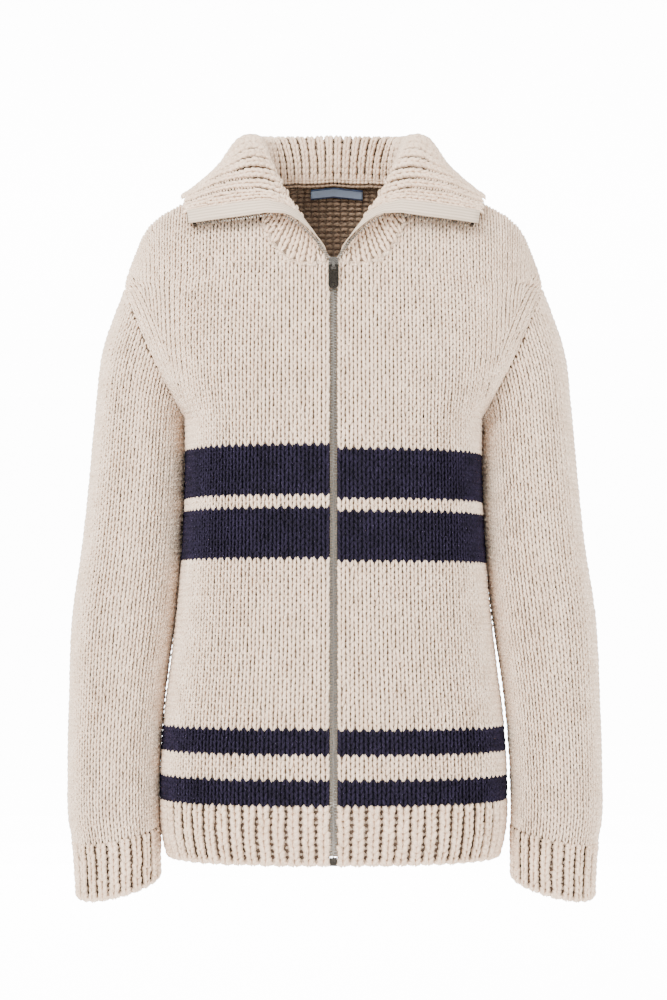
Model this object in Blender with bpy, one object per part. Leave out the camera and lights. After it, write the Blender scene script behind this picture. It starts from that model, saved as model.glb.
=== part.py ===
"""Chunky zip-up cardigan in stockinette, with a ribbed collar, hem and cuffs.

It keeps the hollow form it has when worn. The front faces -Y and the origin is midway
between the two high points of the shoulders. Tables are in millimetres.
"""
import math

import bmesh
import bpy
import numpy as np

MM = 0.001

# ------------------------------------------------------------------ driving sizes, mm
WALL = 4.0                # thickness of the knit
SEAM = 0.3                # gap between two pieces at a seam
RIB_BACK = 0.6            # a ribbed wall is this much thicker than a plain one
RIB_RISE = 1.1            # a rib's height over the cloth's mean face, and its groove's depth

HEM_BOTTOM = -678.0
HEM_TOP = -622.0
ARMPIT = -247.0
SHOULDER_POINT = -115.0   # height where the shoulder seam meets the armhole
ARMPIT_HALF = 147.0
SHOULDER_HALF = 208.0
ARMHOLE_FRONT = 52.0      # how far the armhole bows forward of the side seam
ARMHOLE_BACK = 48.0
ARMHOLE_BOW = 3.0
NECK_HALF = 80.0
NECK_FRONT = -100.0       # height of the neckline at the zip
NECK_BACK_DEPTH = 62.0    # how far back the neckline lies at the centre back
NECK_CENTRE = np.array([0.0, -10.0, 0.0])

HEM_RIBS_FRONT = 17       # on each front
HEM_RIBS_BACK = 34
CUFF_RIBS = 22
COLLAR_RIBS = 44

HALF_GIRTH = 215.0        # a front's width, along the cloth
SHOULDER_RUN = 300.0      # a column's length from the armpit's height to the shoulder line
PANEL_LOW_ROWS = 11       # rows of a panel's wall below and above the armpit
PANEL_HIGH_ROWS = 12
NECK_COLUMNS = 8          # columns of a half panel under the neckline and beyond it
SIDE_COLUMNS = 6

ZIP_SLOT = 0.015          # share of a front's width that the zip's slot takes
TAPE_THICK = 0.8
TAPE_OFF = 0.95           # between the tape and the cloth it is sewn to
TEETH_WIDE = 2.9
TEETH_THICK = 2.0
TEETH_IN = 0.35           # from the cloth's edge to the teeth, and from its face on the wearer's side
TEETH_OUT = 0.4
TEETH_CLEAR = 1.0         # the teeth stand this much further off the collar's curved edge
UNDER_TAPE = 0.6          # the collar's ribs are pressed flat by this much under the tape
TAPE_POINTS = 6           # ridges and grooves of the collar that lie under the tape
ZIP_ENDS = (0.94, 0.985)  # along the collar's edge, where the teeth and the tape end
COLLAR_HALF_RUN = 215.0   # the collar's length from the zip to the centre back
TAPE_WIDE = 1.5 * COLLAR_HALF_RUN / (COLLAR_RIBS / 2)

# Torso sections from the hem up. power is the squareness of the superellipse.
TORSO_COLUMNS = ("height", "half", "front", "back", "power")
TORSO = np.array([
    (-678.0, 163.0, 107.0, 102.0, 2.5),
    (-658.0, 168.0, 110.0, 105.0, 2.5),
    (-622.0, 170.5, 111.0, 107.0, 2.5),
    (-554.0, 168.0, 111.0, 104.0, 2.5),
    (-480.0, 159.5, 111.0, 100.0, 2.5),
    (-392.0, 150.5, 113.0, 100.0, 2.6),
    (-300.0, 146.5, 115.0, 106.0, 2.6),
    (-247.0, 147.0, 112.0, 111.0, 2.6),
    (-190.0, 147.0, 103.0, 112.0, 2.5),
    (-150.0, 147.0, 95.0, 110.0, 2.4),
    (-115.0, 147.0, 91.0, 107.0, 2.3),
])

# The shoulder line seen from the front, from the centre of the neck hole to the armhole.
SHOULDER_COLUMNS = ("x", "height")
SHOULDER = np.array([
    (0.0, 18.0), (40.0, 13.0), (80.0, -1.0), (105.0, -11.0), (130.0, -21.0), (155.0, -33.0),
    (173.0, -43.0), (184.0, -53.0), (191.0, -64.0), (198.0, -83.0), (203.5, -100.0), (208.0, -115.0),
])

# Sleeve rings from just below the armhole to the end of the cuff, for the left sleeve.
# lean is how much lower the inner side is than the ring's centre, nod how much lower the front is.
SLEEVE_COLUMNS = ("along", "x", "y", "height", "half_wide", "half_deep", "lean", "nod")
SLEEVE = np.array([
    (40.0, 189.0, 1.0, -217.0, 40.0, 56.0, 42.0, 0.0),
    (84.0, 192.7, -1.0, -262.0, 44.0, 58.0, 20.0, 0.0),
    (132.0, 195.8, -4.0, -310.0, 45.8, 58.0, 8.0, 0.0),
    (202.0, 201.0, -8.0, -380.0, 48.0, 56.0, 3.0, 0.0),
    (262.0, 207.6, -11.0, -440.0, 49.8, 53.5, 0.0, 1.0),
    (342.0, 213.9, -15.0, -520.0, 46.2, 50.0, -3.0, 2.0),
    (412.0, 216.6, -18.0, -590.0, 44.3, 47.0, -5.0, 3.0),
    (458.0, 216.0, -20.0, -636.0, 43.4, 44.5, -7.0, 5.0),
    (477.0, 213.8, -21.0, -655.0, 41.8, 42.5, -8.0, 6.0),
    (529.0, 211.4, -23.0, -707.0, 39.8, 40.0, -9.0, 7.0),
])
CUFF_START = 477.0
CUFF_END = 529.0
RIGHT_SLEEVE_OUT = 4.0    # the right sleeve's cuff hangs this much further out

# The collar's left half from the zip to the centre back. share counts the ribs from the zip;
# fold is the roll line, brow just past it, fall a point halfway down, edge the free edge.
COLLAR_COLUMNS = ("share", "fold_x", "fold_y", "fold_z", "brow_x", "brow_y", "brow_z",
                  "fall_x", "fall_y", "fall_z", "edge_x", "edge_y", "edge_z")
COLLAR = np.array([
    (0.00, 10.0, -94.0, -90.0, 46.0, -98.0, -55.0, 95.0, -90.0, -56.0, 143.0, -72.0, -60.0),
    (0.07, 29.0, -76.0, -63.0, 54.0, -91.0, -43.0, 97.0, -84.0, -43.0, 145.0, -60.0, -47.0),
    (0.14, 43.0, -70.0, -38.0, 63.0, -82.0, -28.0, 99.0, -75.0, -27.0, 147.0, -47.0, -35.0),
    (0.28, 62.0, -46.0, 5.0, 76.0, -54.0, 10.0, 106.0, -46.0, 0.0, 150.0, -11.0, -22.0),
    (0.42, 72.0, -12.0, 34.0, 85.0, -16.0, 36.0, 114.0, -6.0, 9.0, 146.0, 28.0, -25.0),
    (0.56, 73.0, 18.0, 42.0, 86.0, 22.0, 42.0, 110.0, 40.0, 8.0, 130.0, 66.0, -37.0),
    (0.70, 61.0, 43.0, 47.0, 70.0, 54.0, 47.0, 87.0, 76.0, 6.0, 96.0, 98.0, -46.0),
    (0.85, 32.0, 59.0, 51.0, 36.0, 72.0, 50.0, 45.0, 95.0, 5.0, 50.0, 116.0, -48.0),
    (1.00, 0.0, 64.0, 53.0, 0.0, 77.0, 52.0, 0.0, 99.0, 5.0, 0.0, 120.0, -48.0),
])
COLLAR_AT_SHOULDER = 0.39  # share of the ribs that stand on the front neckline
COLLAR_START = 2.0         # from a front's edge to the collar's, along the neckline
COLLAR_ROWS = (0.0, 0.05, 0.1, 0.15, 0.2, 0.25, 0.3, 0.35, 0.4, 0.5, 0.6, 0.7, 0.85, 1.0)
THIN_EDGE = 0.35           # the knit is pressed thinner where it folds along the zip
THIN_SHARE = 0.30          # and swells to its full thickness over this share of the ribs
STAND_HOLLOW = 5.0         # how far the middle of the stand leans in towards the neck
WING_CLEAR = 7.5           # the wing's visible face lies at least this far off the body
WING_RAMP = 0.15           # reached over this share of a rib, past the fold

# The slider's sizes are measured from the knit's face: up along the zip and out from the cloth.
SLIDER_HEIGHT = -102.5     # height of the slider's middle
SLIDER_TALL = 12.0
SLIDER_WIDE = 9.4
SLIDER_PLATE = 1.5
SLIDER_OFF = 1.2           # from the knit's face to the front plate
SLIDER_POST = (1.2, 1.8)   # width and height of the post between the plates
BRIDGE_WIDE = 2.6          # the bridge arches along the zip, in front of the front plate
BRIDGE_LONG = 8.6
BRIDGE_OUT = 4.0           # how far the bridge's crown stands off the front plate
BRIDGE_THICK = 1.0
PULL_DROP = 2.3            # the pull tab's hinge below the slider's middle
PULL_LONG = 23.0
PULL_WIDE = 9.6
PULL_THICK = 1.4
PULL_WINDOW = (5.0, 5.2)   # width and height of the window that the bridge passes through
PULL_BAR = 1.2             # height of the bar at the top of that window
PULL_HOLE = 1.5            # radius of the hole near the rounded end
PULL_FIELD = (7.2, 6.0)    # the bare raised field in its middle

STOP_BOX = (6.0, 4.9, 6.4)  # wide, deep, tall
ABOVE_BOX = 1.5             # the tapes and the teeth start this much above it
ZIP_HEM_POINTS = 4          # points of the zip's line up the hem, and up the front
ZIP_BODY_POINTS = 15
TOP_STOP_LONG = 3.2

LABEL_TALL = 15.0
LABEL_LEFT = -24.0
LABEL_RIGHT = 31.0
LABEL_THICK = 0.8
LABEL_OFF = 1.1            # between the label and the cloth
LABEL_DROP = 1.5           # below the back neckline

CREAM = (0.78, 0.70, 0.61)
GUNMETAL = (0.16, 0.15, 0.14)
NICKEL = (0.50, 0.48, 0.45)
TAPE = (0.74, 0.67, 0.59)
LABEL_BLUE = (0.33, 0.41, 0.55)


# ------------------------------------------------------------------ curves through tables
def smooth(knots, rows, at):
    """A cubic through a table's rows: each row's slope is that of the chord between its neighbours."""
    rows = np.asarray(rows, float).reshape(len(knots), -1)
    slopes = np.gradient(rows, knots, axis=0)
    at = np.clip(np.atleast_1d(at), knots[0], knots[-1])
    cell = np.clip(np.searchsorted(knots, at, side="right") - 1, 0, len(knots) - 2)
    step = (knots[cell + 1] - knots[cell])[:, None]
    x = ((at - knots[cell])[:, None]) / step
    start = (2 * x**3 - 3 * x**2 + 1) * rows[cell] + (x**3 - 2 * x**2 + x) * step * slopes[cell]
    end = (3 * x**2 - 2 * x**3) * rows[cell + 1] + (x**3 - x**2) * step * slopes[cell + 1]
    return start + end


def lengths(points):
    """Distance run along each row of points, from 0 at its first point."""
    steps = np.linalg.norm(np.diff(points, axis=-2), axis=-1)
    start = np.zeros(steps.shape[:-1] + (1,))
    return np.concatenate([start, np.cumsum(steps, axis=-1)], axis=-1)


def unit(vectors):
    return vectors / np.maximum(np.linalg.norm(vectors, axis=-1, keepdims=True), 1e-9)


def read_grid(grid, first, second):
    """Points of a grid at two shares from 0 to 1 of its axes, read between its neighbours."""
    i = np.clip(first, 0, 1) * (grid.shape[0] - 1)
    j = np.clip(second, 0, 1) * (grid.shape[1] - 1)
    i0 = np.clip(i.astype(int), 0, grid.shape[0] - 2)
    j0 = np.clip(j.astype(int), 0, grid.shape[1] - 2)
    a, b = (i - i0)[..., None], (j - j0)[..., None]
    return ((1 - a) * (1 - b) * grid[i0, j0] + a * (1 - b) * grid[i0 + 1, j0]
            + (1 - a) * b * grid[i0, j0 + 1] + a * b * grid[i0 + 1, j0 + 1])


# ------------------------------------------------------------------ torso
def sections(heights, shares, side):
    """Points of the torso's left half, one row per height; side is -1 for the front, 1 for the back.

    A section is x = half cos(a)^(2/power), y = depth sin(a)^(2/power), from the centre to the side
    seam, or to the armhole above the armpit. share 0 is the centre, 1 the seam, by length.
    """
    heights = np.atleast_1d(heights)
    table = smooth(TORSO[:, 0], TORSO[:, 1:], heights)
    half, depth, power = table[:, 0], table[:, 1 if side < 0 else 2], table[:, 3]
    rise = np.clip((heights - ARMPIT) / (SHOULDER_POINT - ARMPIT), 0, 1)
    bow = (ARMHOLE_FRONT if side < 0 else ARMHOLE_BACK) * np.sqrt(4 * rise * (1 - rise))
    seam_x = ARMPIT_HALF + (SHOULDER_HALF - ARMPIT_HALF) * rise + ARMHOLE_BOW * np.sin(math.pi * rise)
    half = np.where(heights > ARMPIT, seam_x / (1 - (bow / depth) ** power) ** (1 / power), half)
    last = np.arcsin((bow / depth) ** (power / 2))
    angle = math.pi / 2 + (last - math.pi / 2)[:, None] * np.linspace(0, 1, 240)[None, :]
    x = half[:, None] * np.abs(np.cos(angle)) ** (2 / power[:, None])
    y = depth[:, None] * np.abs(np.sin(angle)) ** (2 / power[:, None])
    run = lengths(np.stack([x, y], axis=-1))
    # The middle columns of the body are a little wider than those at the side.
    spread = 1 + 0.08 * (1 - rise)[:, None]
    want = (spread * shares[None, :] - (spread - 1) * shares[None, :] ** 2) * run[:, -1:]
    out = np.empty((len(heights), len(shares), 3))
    for row in range(len(heights)):
        out[row, :, 0] = -np.interp(want[row], run[row], x[row])
        out[row, :, 1] = side * np.interp(want[row], run[row], y[row])
    out[:, :, 2] = heights[:, None]
    return out


class TorsoSheet:
    """One half of the torso, front or back, as a sheet of knit columns.

    share runs from the centre (0) to the side seam and armhole (1). level runs up a column from
    the hem (0) to the armpit (1) and on to the shoulder line (2), by length along the column.
    """

    def __init__(self, side):
        self.side = side
        self.shares = np.linspace(0, 1, 81)
        heights = np.linspace(HEM_TOP, SHOULDER_POINT, 140)
        low = sections(heights, self.shares, side)
        seam = SHOULDER[:, 0:2]
        seam_run = lengths(seam)
        at = self.shares * seam_run[-1]
        top_x, top_z = np.interp(at, seam_run, seam[:, 0]), np.interp(at, seam_run, seam[:, 1])
        turn = np.linspace(0, math.pi / 2, 60)[1:, None]
        round_off = 2 / (2.2 if side < 0 else 2.6)
        up, over = np.sin(turn) ** round_off, np.cos(turn) ** round_off
        base = low[-1]
        high = np.stack([base[:, 0] + (-top_x - base[:, 0]) * np.sin(turn) ** 2, base[:, 1] * over,
                         SHOULDER_POINT + (top_z - SHOULDER_POINT) * up], axis=-1)
        columns = np.concatenate([low, high], axis=0).transpose(1, 0, 2)
        run = lengths(columns)
        armpit_run = np.interp(ARMPIT, heights, run[-1, :len(heights)])
        self.levels = np.linspace(0, 2, 161)
        self.grid = np.empty((len(self.shares), len(self.levels), 3))
        for index, column in enumerate(columns):
            total = run[index, -1]
            want = np.where(self.levels < 1, self.levels * armpit_run,
                            armpit_run + (self.levels - 1) * (total - armpit_run))
            for axis in range(3):
                self.grid[index, :, axis] = np.interp(want, run[index], column[:, axis])

    def at(self, share, level):
        """Points on the sheet, read between the columns and levels that it holds."""
        point = read_grid(self.grid, np.abs(share), level / 2)
        same = np.ones_like(share)
        return point * np.stack([np.where(share < 0, -1.0, 1.0), same, same], axis=-1)

    def normal(self, share, level):
        """Outward normals, from the slopes of the sheet to either side."""
        step = 0.012
        left, right = np.clip(share - step, -1, 1), np.clip(share + step, -1, 1)
        low, high = np.clip(level - step, 0, 2), np.clip(level + step, 0, 2)
        across = self.at(right, level) - self.at(left, level)
        along = self.at(share, high) - self.at(share, low)
        return unit(np.cross(across, along) * self.side)


def neckline(sheet, count):
    """The neckline of one half as (share, level), from the centre to the shoulder line."""
    seam_run = lengths(SHOULDER)
    neck_share = np.interp(NECK_HALF, SHOULDER[:, 0], seam_run) / seam_run[-1]
    levels = np.linspace(1, 2, 400)
    column = sheet.at(np.zeros(400), levels)
    if sheet.side < 0:
        low = np.interp(NECK_FRONT, column[:, 2], levels)
        start, power = ZIP_SLOT, 3.0
    else:
        low = np.interp(-NECK_BACK_DEPTH, -column[:, 1], levels)
        start, power = 0.0, 2.4
    turn = np.linspace(0, math.pi / 2, count)
    share = start + (neck_share - start) * np.sin(turn) ** (2 / power)
    level = 2 - (2 - low) * np.cos(turn) ** (2 / power)
    return share, level


# ------------------------------------------------------------------ meshes
def zipper(near, far):
    """Triangles between two rows of point numbers that run the same way but may differ in count."""
    faces, i, j = [], 0, 0
    while i < len(near) - 1 or j < len(far) - 1:
        behind = (i + 1) * (len(far) - 1) <= (j + 1) * (len(near) - 1)
        if j == len(far) - 1 or (i < len(near) - 1 and behind):
            faces.append((near[i], near[i + 1], far[j]))
            i += 1
        else:
            faces.append((near[i], far[j + 1], far[j]))
            j += 1
    return faces


def grid_faces(numbers, flip):
    quads = np.stack([numbers[:-1, :-1], numbers[1:, :-1], numbers[1:, 1:], numbers[:-1, 1:]], axis=-1)
    quads = quads.reshape(-1, 4)
    return (quads[:, ::-1] if flip else quads).tolist()


def wall(name, outer, inner, material, closed=False, mirror=False):
    """A closed wall between an outer and an inner grid of points, which may differ in count.

    closed joins the grids' first axis to itself, as on a sleeve; the wall's rims are then rings.
    """
    if closed:
        outer = np.concatenate([outer, outer[:1]])
        inner = np.concatenate([inner, inner[:1]])
    out_numbers = np.arange(outer.shape[0] * outer.shape[1]).reshape(outer.shape[:2])
    in_numbers = np.arange(inner.shape[0] * inner.shape[1]).reshape(inner.shape[:2]) + out_numbers.size
    if closed:
        out_numbers[-1] = out_numbers[0]
        in_numbers[-1] = in_numbers[0]
    faces = grid_faces(out_numbers, False) + grid_faces(in_numbers, True)
    rims = [(out_numbers[:, 0], in_numbers[:, 0]), (out_numbers[:, -1], in_numbers[:, -1])]
    if not closed:
        rims += [(out_numbers[0], in_numbers[0]), (out_numbers[-1], in_numbers[-1])]
    for near, far in rims:
        faces += zipper(near.tolist(), far.tolist())
    points = np.concatenate([outer.reshape(-1, 3), inner.reshape(-1, 3)])
    if mirror:
        points = points * (-1, 1, 1)
    mesh = bpy.data.meshes.new(name)
    mesh.from_pydata((points * MM).tolist(), [], [tuple(face) for face in faces])
    cloth = bmesh.new()
    cloth.from_mesh(mesh)
    loose = [vert for vert in cloth.verts if not vert.link_faces]
    bmesh.ops.delete(cloth, geom=loose, context="VERTS")
    bmesh.ops.triangulate(cloth, faces=cloth.faces)
    bmesh.ops.recalc_face_normals(cloth, faces=cloth.faces)
    cloth.to_mesh(mesh)
    cloth.free()
    mesh.shade_smooth()
    mesh.set_sharp_from_angle(angle=math.radians(50))
    return put(name, mesh, material)


def put(name, mesh, material):
    thing = bpy.data.objects.new(name, mesh)
    mesh.materials.clear()
    mesh.materials.append(material)
    garment.objects.link(thing)
    return thing


def finish(name, colour, roughness, metallic=0.0):
    material = bpy.data.materials.new(name)
    material.use_nodes = True
    shader = material.node_tree.nodes["Principled BSDF"]
    shader.inputs["Base Color"].default_value = (*colour, 1.0)
    shader.inputs["Roughness"].default_value = roughness
    shader.inputs["Metallic"].default_value = metallic
    return material


def ribs(count, ends=0.0):
    """Heights across a ribbed wall's outer points: a ridge and a groove for each rib."""
    wave = RIB_RISE * np.where(np.arange(2 * count + 1) % 2, 1.0, -1.0)
    if ends:
        wave[0] = wave[-1] = ends
    return wave


# ------------------------------------------------------------------ body panels
def armhole_out(points):
    """Directions from the middle of the armhole out to its rim, in the armhole's own plane."""
    middle = np.array([-(ARMPIT_HALF + SHOULDER_HALF) / 2, 0.0, (ARMPIT + SHOULDER_POINT) / 2])
    return unit(points - middle)


def half_panel(sheet):
    """share and level of a half panel's points: columns from its centre edge out to the armhole,
    rows from the hem past the armpit to the neckline or the shoulder line.

    Up to the armpit the columns are even. Above it they lean in, to end evenly along the neckline.
    """
    neck_share, neck_level = neckline(sheet, 160)
    run = lengths(sheet.at(neck_share, neck_level))
    at = np.linspace(0, run[-1], NECK_COLUMNS + 1)
    neck_share, neck_level = np.interp(at, run, neck_share), np.interp(at, run, neck_level)
    hem = SEAM / 2 / (ARMPIT - HEM_TOP)
    top = 2 - SEAM / 2 / SHOULDER_RUN
    edge = 1 - SEAM / 2 / HALF_GIRTH
    side_share = np.linspace(neck_share[-1], edge, SIDE_COLUMNS + 1)[1:]
    top_share = np.concatenate([neck_share, side_share])[:, None]
    top_level = np.concatenate([np.minimum(neck_level, top), np.full(SIDE_COLUMNS, top)])[:, None]
    share = np.linspace(neck_share[0], edge, len(top_share))[:, None]
    low = np.tile(np.linspace(hem, 1, PANEL_LOW_ROWS), (len(share), 1))
    rise = np.linspace(0, 1, PANEL_HIGH_ROWS + 1)[1:]
    level = np.concatenate([low, 1 + (top_level - 1) * rise], axis=1)
    lean = share + (top_share - share) * rise**2
    share = np.concatenate([np.tile(share, (1, PANEL_LOW_ROWS)), lean], axis=1)
    return share, level


def panel_wall(name, sheet, share, level, armholes, mirror=False):
    """A panel's wall from its outer points, its inner face mitred along its armholes."""
    armpit_row = PANEL_LOW_ROWS - 1
    outer = sheet.at(share, level)
    inner = outer - WALL * sheet.normal(share, level)
    for column in armholes:
        rim = outer[column, armpit_row:]
        flip = np.array([1.0 if rim[0, 0] < 0 else -1.0, 1.0, 1.0])
        inner[column, armpit_row:] = rim - WALL * armhole_out(rim * flip) * flip
    wall(name, outer, inner, cream, mirror=mirror)


def make_fronts():
    share, level = half_panel(front)
    for name, mirror in (("front_left", False), ("front_right", True)):
        panel_wall(name, front, share, level, [-1], mirror)


def make_back():
    share, level = half_panel(back)
    share = np.concatenate([-share[:0:-1], share])
    level = np.concatenate([level[:0:-1], level])
    panel_wall("back", back, share, level, [0, -1])


# ------------------------------------------------------------------ hem
def hem_faces(side, shares, inner_shares):
    """Outer and inner points of a hem rib, and the outward normals of the outer ones."""
    heights = np.array([HEM_BOTTOM, HEM_BOTTOM + 7, HEM_BOTTOM + 27, HEM_TOP - SEAM])

    def face(at):
        points = sections(heights, np.abs(at), side).transpose(1, 0, 2)
        points[at < 0, :, 0] *= -1
        return points

    def outward(at):
        step = 0.01
        slope = face(np.clip(at + step, -1, 1)) - face(np.clip(at - step, -1, 1))
        return unit(np.stack([slope[..., 1], -slope[..., 0], np.zeros(slope.shape[:2])], axis=-1) * side)

    return face(shares), outward(shares), face(inner_shares), outward(inner_shares)


def make_hems():
    edge = 1 - SEAM / 2 / HALF_GIRTH
    for side, start, count in ((-1, ZIP_SLOT, HEM_RIBS_FRONT), (1, -edge, HEM_RIBS_BACK)):
        outer, normal, inner, inner_normal = hem_faces(
            side, np.linspace(start, edge, 2 * count + 1), np.linspace(start, edge, count // 2 + 1))
        rise = ribs(count, -0.2)[:, None, None] * np.array([0.5, 1.0, 1.0, 0.3])[None, :, None]
        outer = outer + rise * normal
        inner = inner - (WALL + RIB_BACK) * inner_normal
        if side < 0:
            for name, mirror in (("hem_left", False), ("hem_right", True)):
                wall(name, outer, inner, cream, mirror=mirror)
        else:
            wall("hem_back", outer, inner, cream)


# ------------------------------------------------------------------ sleeves and cuffs
def sleeve_face(angles, along, outward):
    """Points of the left sleeve: angle 0 is its outer side, a quarter turn the front.

    Its first ring is the armhole itself, half a seam away; the others are leaning ellipses.
    """
    cos, sin = np.cos(angles), np.sin(angles)
    height = (ARMPIT + SHOULDER_POINT) / 2 + (SHOULDER_POINT - ARMPIT) / 2 * cos
    rim = np.empty((len(angles), 3))
    for sheet, chosen in ((front, sin >= 0), (back, sin < 0)):
        levels = np.linspace(1, 2, 300)
        column = sheet.at(np.ones(300), levels)
        level = np.interp(height[chosen], column[:, 2], levels)
        rim[chosen] = sheet.at(np.ones(chosen.sum()), level)
    away = unit(np.array([-(SHOULDER_POINT - ARMPIT), 0.0, -(SHOULDER_HALF - ARMPIT_HALF)]))
    rings = [rim + (SEAM + 0.05) * away]
    for row in SLEEVE:
        station = dict(zip(SLEEVE_COLUMNS, row))
        out = outward * np.clip((station["along"] - 200) / 300, 0, 1)
        rings.append(np.stack([
            -(station["x"] + out + station["half_wide"] * cos),
            station["y"] - station["half_deep"] * sin,
            station["height"] + station["lean"] * cos - station["nod"] * sin], axis=-1))
    knots = np.concatenate([[0.0], SLEEVE[:, 0]])
    points = smooth(knots, np.array(rings).reshape(len(rings), -1), along)
    return points.reshape(len(along), len(angles), 3).transpose(1, 0, 2), rim


def tube_normal(points):
    """Outward normals of a closed tube of points, from its neighbours round and along."""
    around = np.roll(points, -1, axis=0) - np.roll(points, 1, axis=0)
    down = np.gradient(points, axis=1)
    return unit(np.cross(down, around))


def make_sleeves():
    angles = np.linspace(0, 2 * math.pi, 25)[:-1]
    along = np.concatenate([[0, 8, 20, 36], np.linspace(56, CUFF_START - 12, 11), [CUFF_START - SEAM]])
    for name, mirror, outward in (("sleeve_left", False, 0.0), ("sleeve_right", True, RIGHT_SLEEVE_OUT)):
        outer, rim = sleeve_face(angles, along, outward)
        inner = outer - WALL * tube_normal(outer)
        inner[:, 0] = outer[:, 0] - WALL * armhole_out(rim)
        wall(name, outer, inner, cream, closed=True, mirror=mirror)


def make_cuffs():
    angles = np.linspace(0, 2 * math.pi, 2 * CUFF_RIBS + 1)[:-1]
    inner_angles = np.linspace(0, 2 * math.pi, CUFF_RIBS + 1)[:-1]
    along = np.array([CUFF_START, CUFF_START + 12, CUFF_END - 8, CUFF_END])
    for name, mirror, outward in (("cuff_left", False, 0.0), ("cuff_right", True, RIGHT_SLEEVE_OUT)):
        outer, _ = sleeve_face(angles, along, outward)
        rise = ribs(CUFF_RIBS)[:-1, None, None] * np.array([0.3, 1.0, 1.0, 0.5])[None, :, None]
        outer = outer + rise * tube_normal(outer)
        inner, _ = sleeve_face(inner_angles, along, outward)
        inner = inner - (WALL + RIB_BACK) * tube_normal(inner)
        wall(name, outer, inner, cream, closed=True, mirror=mirror)


# ------------------------------------------------------------------ collar
def lift_off_body(points, need):
    """Points moved out from the body's outer face wherever they lie closer to it than need."""
    share, level = np.meshgrid(np.linspace(0, 1, 41), np.linspace(1, 2, 61), indexing="ij")
    skin = np.concatenate([sheet.at(share, level).reshape(-1, 3) for sheet in (front, back)])
    away = np.concatenate([sheet.normal(share, level).reshape(-1, 3) for sheet in (front, back)])
    lifted = points.copy()
    for number, row in enumerate(points):
        nearest = np.argmin(np.sum((row[:, None] - skin[None]) ** 2, axis=-1), axis=1)
        gap = np.sum((row - skin[nearest]) * away[nearest], axis=-1)
        lifted[number] += np.maximum(need[number] - gap, 0)[:, None] * away[nearest]
    return lifted


class CollarSheet:
    """The collar's visible face: the stand's neck side, the roll and the wing's upper side.

    Each rib is a cubic through six points, even in length: its start at the neck seam, the stand's
    middle, the fold, the brow, the fall and the free edge.

    share counts ribs from the left end of the zip (0) round the back (1) to the right end (2).
    along runs up a rib from the neck seam (0), over the roll line and down to the edge (1).
    """

    def __init__(self):
        shares = np.linspace(0, 1, 2 * COLLAR_RIBS + 1)
        alongs = np.linspace(0, 1, 61)
        base = self.seam(shares)
        rows = smooth(COLLAR[:, 0], COLLAR[:, 1:], shares)
        fold, brow, fall, edge = (rows[:, first:first + 3] * (-1, 1, 1) for first in (0, 3, 6, 9))
        rise = unit(fold - base)
        to_neck = NECK_CENTRE * (1, 1, 0) + base * (0, 0, 1) - base
        to_neck = unit(to_neck - np.sum(to_neck * rise, axis=1, keepdims=True) * rise)
        base = base + 3 * SEAM * unit(rise + to_neck) + (WALL + RIB_BACK) * to_neck
        hollow = STAND_HOLLOW * np.clip(shares / 0.1, 0, 1)[:, None]
        stand = 0.45 * base + 0.55 * fold + hollow * to_neck
        path = np.stack([base, stand, fold, brow, fall, edge], axis=1)
        run = lengths(path)
        knots = run / run[:, -1:]
        points = np.stack([smooth(*rib, alongs) for rib in zip(knots, path)])
        past_fold = np.clip((alongs[None, :] - knots[:, 2:3]) / WING_RAMP, 0, 1)
        self.grid = lift_off_body(points, WING_CLEAR * past_fold**2 * (3 - 2 * past_fold))

    def seam(self, shares):
        """Where each rib starts on the neckline."""
        points = []
        for sheet in (front, back):
            share, level = neckline(sheet, 160)
            points.append(sheet.at(share, level))
        run = [lengths(line) for line in points]
        on_front = shares < COLLAR_AT_SHOULDER
        want = COLLAR_START + shares[on_front] / COLLAR_AT_SHOULDER * (run[0][-1] - COLLAR_START)
        rest = (1 - shares[~on_front]) / (1 - COLLAR_AT_SHOULDER) * run[1][-1]
        base = np.empty((len(shares), 3))
        for axis in range(3):
            base[on_front, axis] = np.interp(want, run[0], points[0][:, axis])
            base[~on_front, axis] = np.interp(rest, run[1], points[1][:, axis])
        return base

    def at(self, share, along):
        point = read_grid(self.grid, np.minimum(share, 2 - share), along)
        same = np.ones_like(share)
        return point * np.stack([np.where(share > 1, -1.0, 1.0), same, same], axis=-1)

    def normal(self, share, along):
        """Normals to the visible side, from the slopes of the sheet to either side."""
        step = 0.012
        left, right = np.clip(share - step, 0, 2), np.clip(share + step, 0, 2)
        low, high = np.clip(along - step, 0, 1), np.clip(along + step, 0, 1)
        across = self.at(right, along) - self.at(left, along)
        down = self.at(share, high) - self.at(share, low)
        return unit(np.cross(across, down))


def make_collar():
    alongs = np.array(COLLAR_ROWS)
    share, along = np.meshgrid(np.linspace(0, 2, 2 * COLLAR_RIBS + 1), alongs, indexing="ij")
    wave = ribs(COLLAR_RIBS)
    wave[:TAPE_POINTS] = wave[-TAPE_POINTS:] = -UNDER_TAPE
    swell = np.where(alongs == 0, 0.0, np.where(alongs == 1, 0.4, 1.0))
    outer = collar.at(share, along) + (wave[:, None] * swell)[..., None] * collar.normal(share, along)
    share, along = np.meshgrid(np.linspace(0, 2, COLLAR_RIBS + 1), alongs, indexing="ij")
    inside = np.clip(np.minimum(share, 2 - share) / THIN_SHARE, 0, 1)
    thick = (WALL + RIB_BACK) * (THIN_EDGE + (1 - THIN_EDGE) * inside**2 * (3 - 2 * inside))
    inner = collar.at(share, along) - thick[..., None] * collar.normal(share, along)
    wall("collar", outer, inner, cream)


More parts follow.
